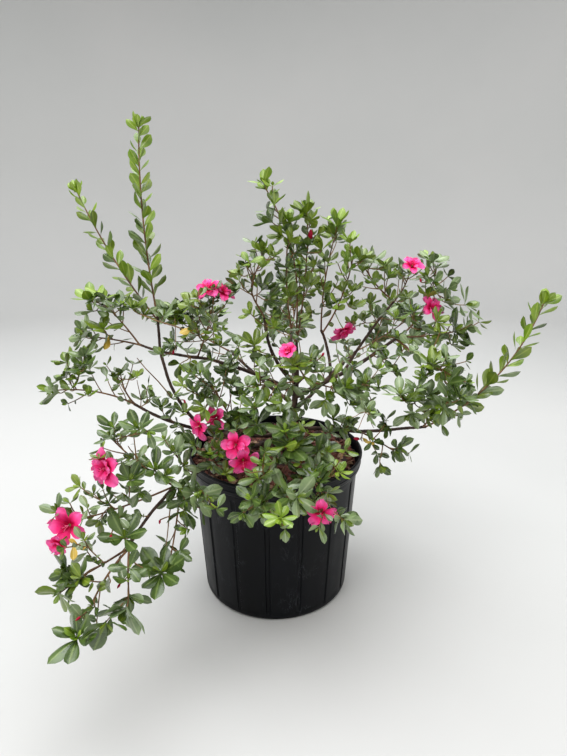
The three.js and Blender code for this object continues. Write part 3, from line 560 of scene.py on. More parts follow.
# A mass grows from one stem that goes on from its bough's tip: heading, rise, length, bow, veer,
# number of twigs, the longest twig, lone leaves, leaf length, seed and where the twigs begin
massColumns = ['bough', 'heading', 'rise', 'length', 'bow', 'veer',
               'twigs', 'spread', 'lone', 'leafLength', 'seed', 'first']
masses = {
    'tallShoot': ['tallLeftBough', 151, 81, 279, 14, 31, 0, 0, 22, 26, 51, None],
    'leanShoot': ['tallLeftBough', 162, 49, 230, 18, 6, 0, 0, 17, 27, 49, None],
    'upperLeft': ['leftReach', 171, 56, 84, -11, 4, 4, 48, 3, 29, 52, None],
    'outerLeft': ['leftReach', 194, 19, 90, -14, -7, 4, 44, 3, 28, 39, None],
    'pinkLeft': ['leftBough', 337, 64, 102, 10, -15, 6, 58, 3, 29, 37, None],
    'farLeft': ['lowLeftBough', 199, 35, 124, -41, -12, 5, 46, 3, 29, 8, None],
    'farLeftUp': ['lowLeftBough', 166, 35, 58, 48, -38, 5, 52, 2, 29, 41, None],
    'budLeft': ['frontLeftBough', 214, 41, 119, 14, -22, 5, 46, 3, 29, 25, None],
    'lowPink': ['frontLeftBough', 218, -7, 150, 19, 12, 6, 42, 3, 28, 38, 0.4],
    'dropTip': ['dropBough', 239, -17, 95, -33, 8, 4, 40, 2, 34, 13, None],
    'dropOuter': ['dropBough', 206, -24, 78, 12, 8, 4, 38, 2, 32, 39, None],
    'dropWhorl': ['dropBough', 274, -30, 61, -19, 12, 3, 34, 1, 38, 31, None],
    'dropInner': ['frontLeftBough', 273, -40, 106, -11, -15, 4, 40, 2, 35, 47, None],
    'frontPink': ['frontPinkBough', 263, 5, 41, -8, 23, 5, 52, 1, 31, 36, None],
    'centreLeft': ['frontPinkBough', 206, 63, 79, -1, -41, 8, 60, 3, 30, 37, None],
    'topShoot': ['trunk', 300, 87, 239, -27, -122, 5, 34, 7, 28, 4, 0.5],
    'topRightShoot': ['trunk', 354, 81, 205, 2, -104, 5, 38, 5, 28, 39, 0.35],
    'midShoot': ['trunk', 220, 71, 188, 6, 72, 5, 40, 5, 28, 60, 0.25],
    'crownRight': ['topRightBough', 20, 91, 153, -17, -55, 5, 46, 4, 28, 53, None],
    'rightLime': ['topRightBough', 335, 57, 137, 18, -39, 5, 46, 4, 28, 20, None],
    'crownLeft': ['topLeftBough', 140, 58, 104, 11, 273, 7, 48, 4, 29, 43, None],
    'heartPink': ['heartBough', 251, 36, 62, 0, 2, 6, 52, 1, 31, 9, None],
    'heartRight': ['heartBough', 318, -11, 93, 23, 6, 8, 56, 2, 30, 39, None],
    'heartLeft': ['heartBough', 222, -4, 84, 16, -12, 8, 52, 3, 30, 9, None],
    'rightTop': ['rightThinBough', 195, 34, 88, 26, 8, 5, 50, 3, 28, 48, None],
    'rightPink': ['rightThinBough', 14, 47, 53, 32, -54, 4, 42, 2, 27, 42, None],
    'rightUpper': ['rightBough', 0, 40, 111, 46, 40, 5, 48, 3, 28, 24, None],
    'rightCluster': ['rightBough', 338, 3, 95, 17, 8, 7, 52, 2, 31, 33, None],
    'rightMid': ['rightBough', 295, -17, 105, 7, 7, 8, 56, 2, 30, 41, None],
    'rightTip': ['lowRightReach', 356, 28, 256, 39, 32, 0, 0, 17, 36, 14, 0.22],
    'rightLow': ['lowRightReach', 289, 45, 64, 11, -21, 5, 56, 2, 31, 14, None],
    'rightDrop': ['lowRightBough', 298, 5, 77, -13, 7, 4, 42, 1, 30, 57, None],
    'frontWhorl': ['frontBough', 249, 45, 41, 8, -3, 4, 52, 1, 36, 55, None],
    'frontRim': ['frontBough', 248, 7, 103, -48, -6, 4, 40, 2, 33, 39, 0.5],
    'frontRimPink': ['frontBough', 293, -2, 92, -29, -3, 4, 42, 2, 33, 9, 0.45],
    'backLeft': ['backLeftBough', 160, 22, 105, 12, 10, 5, 66, 2, 32, 56, None],
    'back': ['backBough', 96, 8, 100, -6, 10, 5, 66, 2, 32, 33, None],
    'backHigh': ['backBough', 70, 62, 100, 14, -20, 5, 62, 2, 31, 17, None],
    'backRight': ['backRightBough', 30, 16, 110, 16, -14, 5, 66, 2, 32, 18, None],
}
masses = {name: dict(zip(massColumns, row)) for name, row in masses.items()}
stemSpacing = 5
goldenAngle = 137.5
bendSteps = 8


def directionOf(heading, rise):
    level = math.cos(math.radians(rise))
    return Vector((level * math.cos(math.radians(heading)), level * math.sin(math.radians(heading)),
                   math.sin(math.radians(rise))))


def pathOf(foot, heading, rise, length, bow=0, veer=0):
    points = [Vector(foot)]
    for step in range(bendSteps):
        share = (step + 0.5) / bendSteps
        way = directionOf(heading + veer * share, rise + bow * share)
        points.append(points[-1] + way * (length / bendSteps))
    return points


def pathLength(path):
    return sum((b - a).length for a, b in zip(path, path[1:]))


def limbPath(foot, limb):
    return pathOf(foot, *(limb[key] for key in ('heading', 'rise', 'length', 'bow', 'veer')))


def pointAt(path, share):
    place = min(max(share, 0), 1) * (len(path) - 1)
    step = min(int(place), len(path) - 2)
    return path[step].lerp(path[step + 1], place - step)


def wayAt(path, share):
    step = min(int(share * (len(path) - 1)), len(path) - 2)
    return (path[step + 1] - path[step]).normalized()


def leant(way, turn, lean):  # a way, leant over by an angle to the side that the turn gives
    helper = Vector((0, 0, 1)) if abs(way.z) < 0.9 else Vector((1, 0, 0))
    across = helper.cross(way).normalized()
    over = way.cross(across)
    lean, turn = math.radians(lean), math.radians(turn)
    return way * math.cos(lean) + (across * math.cos(turn) + over * math.sin(turn)) * math.sin(lean)


paths = {'trunk': limbPath(trunk['foot'], trunk)}
for name, bough in boughs.items():
    paths[name] = limbPath(pointAt(paths[bough['from']], bough['at']), bough)
stems = {}
stemsOn = {}
for name, mass in masses.items():
    order = stemsOn.get(mass['bough'], 0)
    stemsOn[mass['bough']] = order + 1
    length = boughs.get(mass['bough'], trunk)['length']
    stems[name] = limbPath(pointAt(paths[mass['bough']], 1 - order * stemSpacing / length), mass)


# Round tubes along smooth runs of points, each point with its radius, as one mesh
def tubesAlong(runs, sides, smoothness):
    curve = bpy.data.curves.new('runs', 'CURVE')
    curve.dimensions = '3D'
    curve.bevel_depth = 1
    curve.bevel_resolution = (sides - 4) // 2
    curve.resolution_u = smoothness
    curve.use_fill_caps = True
    for points, radii in runs:
        spline = curve.splines.new('BEZIER')
        spline.bezier_points.add(len(points) - 1)
        for knot, point, radius in zip(spline.bezier_points, points, radii):
            knot.co = point
            knot.radius = radius
            knot.handle_left_type = knot.handle_right_type = 'AUTO'
    holder = bpy.data.objects.new('runs', curve)
    scene.collection.objects.link(holder)
    mesh = bpy.data.meshes.new_from_object(holder.evaluated_get(bpy.context.evaluated_depsgraph_get()))
    bpy.data.objects.remove(holder)
    mesh.polygons.foreach_set('use_smooth', np.ones(len(mesh.polygons), bool))
    return mesh


bark = {
    'sides': 18, 'smoothness': 10, 'relief': 0.42, 'grain': 3.2, 'collar': 0.25, 'collarFade': 14,
    'stray': 1.6, 'strayScale': 40, 'seed': 7,
}
noise.seed_set(bark['seed'])  # vector noise starts from the clock otherwise


def crooked(path, seed):  # a limb's inner points stray a little, as on real wood
    points = list(path)
    for i in range(1, len(path) - 1):
        where = path[i] / bark['strayScale'] + Vector((seed, 0, 0))
        points[i] = path[i] + noise.noise_vector(where) * bark['stray']
    return points


def woodyLimbs():
    sunk = [paths['trunk'][0] - wayAt(paths['trunk'], 0) * trunk['sunk'], *paths['trunk'][1:]]
    shares = [i / bendSteps for i in range(bendSteps + 1)]
    thick, thin = trunk['radius']
    flare = [thick + (thin - thick) * s + trunk['flare'] * math.exp(-s * trunk['flareFade'])
             for s in shares]
    runs = [(crooked(sunk, 0), flare)]
    for i, (name, bough) in enumerate(boughs.items()):
        thick, thin = bough['radius']
        collar = [(thick + (thin - thick) * s) * (1 + bark['collar'] * math.exp(-s * bark['collarFade']))
                  for s in shares]
        runs.append((crooked(paths[name], i), collar))
    mesh = tubesAlong(runs, bark['sides'], bark['smoothness'])
    bm = bmesh.new()
    bm.from_mesh(mesh)
    bm.normal_update()
    for vert in bm.verts:
        ridges = noise.noise(vert.co / bark['grain']) + 0.5 * noise.noise(vert.co / (bark['grain'] * 4))
        vert.co += vert.normal * ridges * bark['relief']
    return meshFrom(bm)


finishPiece('woodyLimbs', woodyLimbs(), finishes['oldWood'], limbNames)
print('limbs made')


# Leaves and twigs

# A leaf is one unit long here. Its arches are how far its tip hangs, one for each shape of leaf.
leafShape = {
    'width': 0.47, 'petiole': 0.07, 'petioleWidth': 0.03, 'fold': 0.14, 'curl': 0.5, 'fullness': 0.62,
    'arches': [0.06, 0.18, 0.3, -0.08], 'archFrom': 0.15, 'across': 4, 'along': 7, 'obovate': 1.45,
}
# Angles are in degrees: lean is away from the twig, turn and stray are round it, roll is the leaf's own
growth = {
    'whorlLean': (44, 74), 'uprightLean': (18, 46), 'whorlSize': (0.78, 1.05), 'whorlRoll': (-28, 28),
    'whorlStray': (-14, 14), 'whorlDepth': 2,
    'heartLeaves': (2, 4), 'heartLean': (14, 38), 'heartSize': (0.3, 0.55), 'heartTurn': 70,
    'limeHearts': 0.3,
    'singlesFrom': (0.3, 0.95), 'singleLean': (44, 62), 'singleSize': (0.62, 0.9),
    'singleStray': (-30, 30), 'singleRoll': (-40, 40),
    'twigsFrom': 0.2, 'twigLean': (44, 68), 'twigStray': (-20, 20), 'twigLength': (0.75, 1.1),
    'twigShrink': 0.35, 'twigLift': 0.3, 'twigBow': 18, 'twigRadius': (0.95, 0.65), 'awayFrom': 0.2,
    'sidesFrom': (0.3, 0.5), 'sideLean': (40, 62), 'sideLength': (0.4, 0.62), 'sideLift': 0.25,
    'sideBow': 20, 'sideLeaf': 0.75, 'sideLeeway': 4, 'sideRadius': (0.75, 0.5),
    'loneFrom': 0.12, 'loneLean': 48, 'loneStray': (-15, 15), 'loneRoll': (-75, 75),
    'loneSize': (0.9, 1.1), 'loneShrink': 0.25,
    'endLeaf': 0.8, 'endLeaves': 5, 'endFresh': 0.15, 'stemRadius': (1.5, 0.9),
    'backTwigs': (0.48, 0.48), 'backLength': (32, 56), 'backLeaf': 26, 'seenLeaf': 0.72, 'seenLone': 0.5,
    'lightwards': 0.35, 'breadth': (0.88, 0.26),
    'fresh': (0.04, 0.2), 'freshHeights': (400, 640), 'midShare': 0.25, 'deepShare': 0.55,
}
# Masses that the photo hides are grown by the rule alone, so their twigs bear more, and so do
# the twigs that point away from the camera
hiddenMasses = ['backLeft', 'back', 'backHigh', 'backRight']
crownMasses = ['topShoot', 'midShoot', 'topRightShoot', 'crownRight', 'rightLime', 'crownLeft', 'rightTop']
bearing = {
    'hidden': {'whorlLeaves': (5, 7), 'hearts': (2, 4), 'singles': 3, 'sideTwigs': 3},
    'away': {'whorlLeaves': (3, 4), 'hearts': (0, 1.2), 'singles': 1, 'sideTwigs': 0},
    'seen': {'whorlLeaves': (1.6, 3), 'hearts': (0, 1), 'singles': 1, 'sideTwigs': 0},
}


# Even random numbers from 0 to 1, the same ones as the solids grow by
def randomFrom(seed):
    whole = 0xFFFFFFFF
    state = (seed * 2654435761) & whole

    def draw():
        nonlocal state
        state = (state + 0x6D2B79F5) & whole
        mixed = ((state ^ (state >> 15)) * (state | 1)) & whole
        mixed = ((mixed + (((mixed ^ (mixed >> 7)) * (mixed | 61)) & whole)) & whole) ^ mixed
        return (mixed ^ (mixed >> 14)) / (whole + 1)
    return draw


def drawn(draw, bounds):
    return bounds[0] + (bounds[1] - bounds[0]) * draw()


stemArray = np.array([[list(point) for point in stems[name]] for name in stems])
segmentFoot, segmentWay = stemArray[:, :-1], stemArray[:, 1:] - stemArray[:, :-1]
segmentLength = (segmentWay ** 2).sum(2)
massOrder = {name: i for i, name in enumerate(stems)}


def inOwnSpace(name, point, leeway=0):
    away = np.array(point) - segmentFoot
    share = np.clip((away * segmentWay).sum(2) / segmentLength, 0, 1)
    distance = np.sqrt(((away - segmentWay * share[..., None]) ** 2).sum(2)).min(1)
    own = distance[massOrder[name]]
    distance[massOrder[name]] = np.inf
    return distance.min() > own - leeway


def hitsPot(point):
    reach = math.hypot(point.x, point.y)
    if point.z > pot['height'] + 2 or reach > pot['rimRadius'] + 2:
        return point.z < 3
    return not (reach < pot['wallTopRadius'] - 8 and point.z > mulch['centreHeight'] + 4)


def leafBlade(arch):
    bm = bmesh.new()
    bm.loops.layers.uv.new('bladeMap')
    bmesh.ops.create_grid(bm, x_segments=leafShape['across'], y_segments=leafShape['along'],
                          size=0.5, calc_uvs=True)
    for vert in bm.verts:
        along, side = vert.co.y + 0.5, vert.co.x * 2
        blade = max(along - leafShape['petiole'], 0) / (1 - leafShape['petiole'])
        swell = max(math.sin(math.pi * blade ** leafShape['obovate']), 0) ** leafShape['fullness']
        half = leafShape['width'] / 2 * swell
        half = max(half, leafShape['petioleWidth'] / 2 * (along < 0.5))
        x = side * half
        arched = arch * (along - leafShape['archFrom']) ** 2 * (along > leafShape['archFrom'])
        vert.co = (x, along, leafShape['fold'] * abs(x) - leafShape['curl'] * x * x * 4 - arched)
    return meshFrom(bm)


blades = [leafBlade(arch) for arch in leafShape['arches']]
leafPlaces = {tint: [[] for _ in blades] for tint in ('deep', 'dusty', 'mid', 'lime', 'yellow')}
stemRuns, twigRuns = [], []


def growLeaf(foot, axis, face, length, roll, tint, draw, lightwards=growth['lightwards']):
    axis = axis.normalized()
    face = (face - axis * face.dot(axis)).normalized()
    face = Matrix.Rotation(math.radians(roll), 3, axis) @ face
    face.z += lightwards
    face = (face - axis * face.dot(axis)).normalized()
    across = axis.cross(face)
    tip = foot + axis * length
    if hitsPot(tip) or hitsPot(foot.lerp(tip, 0.5)):
        return
    slim, wider = growth['breadth']
    wide = length * (slim + wider * draw())
    lie = Matrix((across * wide, axis * length, face * length)).transposed().to_4x4()
    leafPlaces[tint][int(draw() * len(blades))].append(Matrix.Translation(foot) @ lie)


def sprayTint(draw, fresh):
    pick = draw()
    if pick < fresh:
        return 'lime'
    mid = growth['midShare']
    if pick < fresh + mid:
        return 'mid'
    # the rest are deep green or grey-green, and the grey-green's paler colour is partly dust and partly
    # painted sheen
    return 'deep' if pick < fresh + mid + (1 - mid - fresh) * growth['deepShare'] else 'dusty'


def freshness(place):  # more young growth the higher up
    least, more = growth['fresh']
    return least + more * smoothStep(*growth['freshHeights'], place.z)


# A ring of leaves round a twig's end, with a few small young ones in its heart
def growWhorl(end, way, leafLength, draw, tint, leaves, lean=growth['whorlLean'],
              hearts=growth['heartLeaves']):
    start = drawn(draw, (0, 360))
    for i in range(leaves):
        axis = leant(way, start + i * 360 / leaves + drawn(draw, growth['whorlStray']), drawn(draw, lean))
        growLeaf(end - way * growth['whorlDepth'] * draw(), axis, way,
                 leafLength * drawn(draw, growth['whorlSize']), drawn(draw, growth['whorlRoll']), tint, draw)
    young = 'lime' if tint == 'lime' or draw() < growth['limeHearts'] else 'mid'
    for i in range(round(drawn(draw, hearts))):
        turn = start + growth['heartTurn'] + i * goldenAngle
        axis = leant(way, turn, drawn(draw, growth['heartLean']))
        growLeaf(end, axis, way, leafLength * drawn(draw, growth['heartSize']),
                 drawn(draw, growth['whorlRoll']), young, draw)


# Lone leaves, one after another along a twig
def growSingles(path, count, leafLength, draw, tint):
    first, last = growth['singlesFrom']
    for i in range(count):
        share = first + (last - first) * (i + draw() * 0.6) / count
        way = wayAt(path, share)
        turn = i * goldenAngle + drawn(draw, growth['singleStray'])
        axis = leant(way, turn, drawn(draw, growth['singleLean']))
        length = leafLength * drawn(draw, growth['singleSize'])
        growLeaf(pointAt(path, share), axis, way, length, drawn(draw, growth['singleRoll']), tint, draw)


def radiiAlong(count, ends):
    return [ends[0] + (ends[1] - ends[0]) * i / (count - 1) for i in range(count)]


# A twig that leaves another limb at a share of the way along it: its direction there, and its path
def twigFrom(path, share, turn, lean, lift, length, bow):
    way = leant(wayAt(path, share), turn, lean)
    way.z += lift
    way.normalize()
    heading, rise = math.degrees(math.atan2(way.y, way.x)), math.degrees(math.asin(way.z))
    return way, pathOf(pointAt(path, share), heading, rise, length, bow)


def growTwig(name, path, draw, leafLength, bears):
    tint = sprayTint(draw, freshness(path[-1]))
    twigRuns.append((path[::2], radiiAlong(5, growth['twigRadius'])))
    growWhorl(path[-1], wayAt(path, 1), leafLength, draw, tint, round(drawn(draw, bears['whorlLeaves'])),
              hearts=bears['hearts'])
    growSingles(path, bears['singles'], leafLength, draw, tint)
    length = pathLength(path)
    sideLeaf = leafLength * growth['sideLeaf']
    first, stretch = growth['sidesFrom']
    for side in range(bears['sideTwigs']):
        share = first + stretch * (side + draw() * 0.7) / bears['sideTwigs']
        twiglet = twigFrom(path, share, side * goldenAngle + 360 * draw(), drawn(draw, growth['sideLean']),
                           growth['sideLift'], length * drawn(draw, growth['sideLength']),
                           growth['sideBow'])[1]
        if not inOwnSpace(name, twiglet[-1], growth['sideLeeway']) or hitsPot(twiglet[-1]):
            continue
        twigRuns.append((twiglet[::2], radiiAlong(5, growth['sideRadius'])))
        sideTint = sprayTint(draw, freshness(twiglet[-1]))
        growWhorl(twiglet[-1], wayAt(twiglet, 1), sideLeaf, draw, sideTint,
                  round(drawn(draw, bears['whorlLeaves'])))
        growSingles(twiglet, 1, sideLeaf, draw, tint)


# Long bare shoots carry their leaves close to the stem, turned a little to the camera's side
shoot = {
    'crowding': 1.9, 'size': {'tallShoot': 1.36, 'leanShoot': 1.3, 'rightTip': 1.12},
    'first': 0.1, 'lean': (24, 48), 'roll': (-60, 60), 'stray': (-15, 15), 'sizes': (0.85, 1.1),
    'shrink': 0.3, 'fresh': (0.12, 0.75), 'olive': 0.6, 'turnedOut': Vector((0, -0.45, 0.1)),
    'tipAt': 0.975, 'tipLeaves': 6, 'tipLean': (10, 40), 'tipSize': 0.68,
}


def growShoot(name, mass):
    stem = stems[name]
    draw = randomFrom(mass['seed'] * 100 + 1)
    first = mass['first'] or shoot['first']
    count = round(mass['lone'] * shoot['crowding'])
    leafLength = mass['leafLength'] * shoot['size'][name]
    least, more = shoot['fresh']
    for i in range(count):
        share = first + (1 - first) * i / count
        place, way = pointAt(stem, share), wayAt(stem, share)
        turn = (mass['seed'] + i) * goldenAngle + drawn(draw, shoot['stray'])
        length = leafLength * (1 - shoot['shrink'] * share) * drawn(draw, shoot['sizes'])
        tint = sprayTint(draw, least + more * share ** 1.5)
        tint = 'mid' if tint == 'deep' and draw() < shoot['olive'] else tint
        growLeaf(place, leant(way, turn, drawn(draw, shoot['lean'])), way + shoot['turnedOut'],
                 length, drawn(draw, shoot['roll']), tint, draw, 0)
    growWhorl(pointAt(stem, shoot['tipAt']), wayAt(stem, 1), leafLength * shoot['tipSize'], draw, 'lime',
              shoot['tipLeaves'], shoot['tipLean'])


def growMassTwigs(name, mass, leafLength):
    stem = stems[name]
    first = mass['first'] or growth['twigsFrom']
    for i in range(mass['twigs']):
        draw = randomFrom(mass['seed'] * 100 + i)
        share = first + (1 - first) * (i + drawn(draw, (0, 0.5))) / mass['twigs']
        turn = (mass['seed'] + i) * goldenAngle + drawn(draw, growth['twigStray'])
        lean = drawn(draw, growth['twigLean'])
        length = mass['spread'] * (1 - growth['twigShrink'] * share) * drawn(draw, growth['twigLength'])
        way, path = twigFrom(stem, share, turn, lean, growth['twigLift'], length, growth['twigBow'])
        if inOwnSpace(name, path[-1]) and inOwnSpace(name, path[4]) and not hitsPot(path[-1]):
            side = 'hidden' if name in hiddenMasses else 'away' if way.y > growth['awayFrom'] else 'seen'
            growTwig(name, path, draw, leafLength, bearing[side])


def growLoneLeaves(name, mass, leafLength):
    stem = stems[name]
    draw = randomFrom(mass['seed'] * 100 + mass['twigs'] + 1)
    first = mass['first'] or growth['loneFrom']
    count = mass['lone'] if name in hiddenMasses else round(mass['lone'] * growth['seenLone'])
    for i in range(count):
        share = first + (1 - first) * i / count
        turn = (mass['seed'] + i) * goldenAngle + drawn(draw, growth['loneStray'])
        length = leafLength * (1 - growth['loneShrink'] * share) * drawn(draw, growth['loneSize'])
        roll = drawn(draw, growth['loneRoll'])
        place, way = pointAt(stem, share), wayAt(stem, share)
        tint = sprayTint(draw, freshness(place))
        growLeaf(place, leant(way, turn, growth['loneLean']), way, length, roll, tint, draw)


def growMass(name, mass):
    stem = stems[name]
    stemRuns.append((stem, radiiAlong(len(stem), growth['stemRadius'])))
    if mass['twigs'] == 0:
        growShoot(name, mass)
        return
    leafLength = mass['leafLength'] * (1 if name in hiddenMasses else growth['seenLeaf'])
    growMassTwigs(name, mass, leafLength)
    draw = randomFrom(mass['seed'] * 100 + mass['twigs'])
    growWhorl(stem[-1], wayAt(stem, 1), mass['leafLength'] * growth['endLeaf'], draw,
              sprayTint(draw, freshness(stem[-1]) + growth['endFresh']), growth['endLeaves'],
              growth['uprightLean' if name in crownMasses else 'whorlLean'])
    growLoneLeaves(name, mass, leafLength)


def growAlong(name, count):  # twigs on a bough at the back, so that it isn't bare up to its mass
    draw = randomFrom(count * 100 + boughs[name]['heading'])
    first, stretch = growth['backTwigs']
    for i in range(count):
        share = first + stretch * (i + 0.5 * draw()) / count
        turn = i * goldenAngle + drawn(draw, growth['twigStray'])
        lean, length = drawn(draw, growth['twigLean']), drawn(draw, growth['backLength'])
        path = twigFrom(paths[name], share, turn, lean, growth['twigLift'], length, growth['twigBow'])[1]
        if not hitsPot(path[-1]):
            growTwig(name, path, draw, growth['backLeaf'], bearing['away'])


def leafCount():
    return {tint: sum(map(len, lots)) for tint, lots in leafPlaces.items()}


for name, mass in masses.items():
    growMass(name, mass)
for name in ('backLeftBough', 'backBough', 'backRightBough'):
    growAlong(name, 6)
print('grown by the rule:', leafCount())
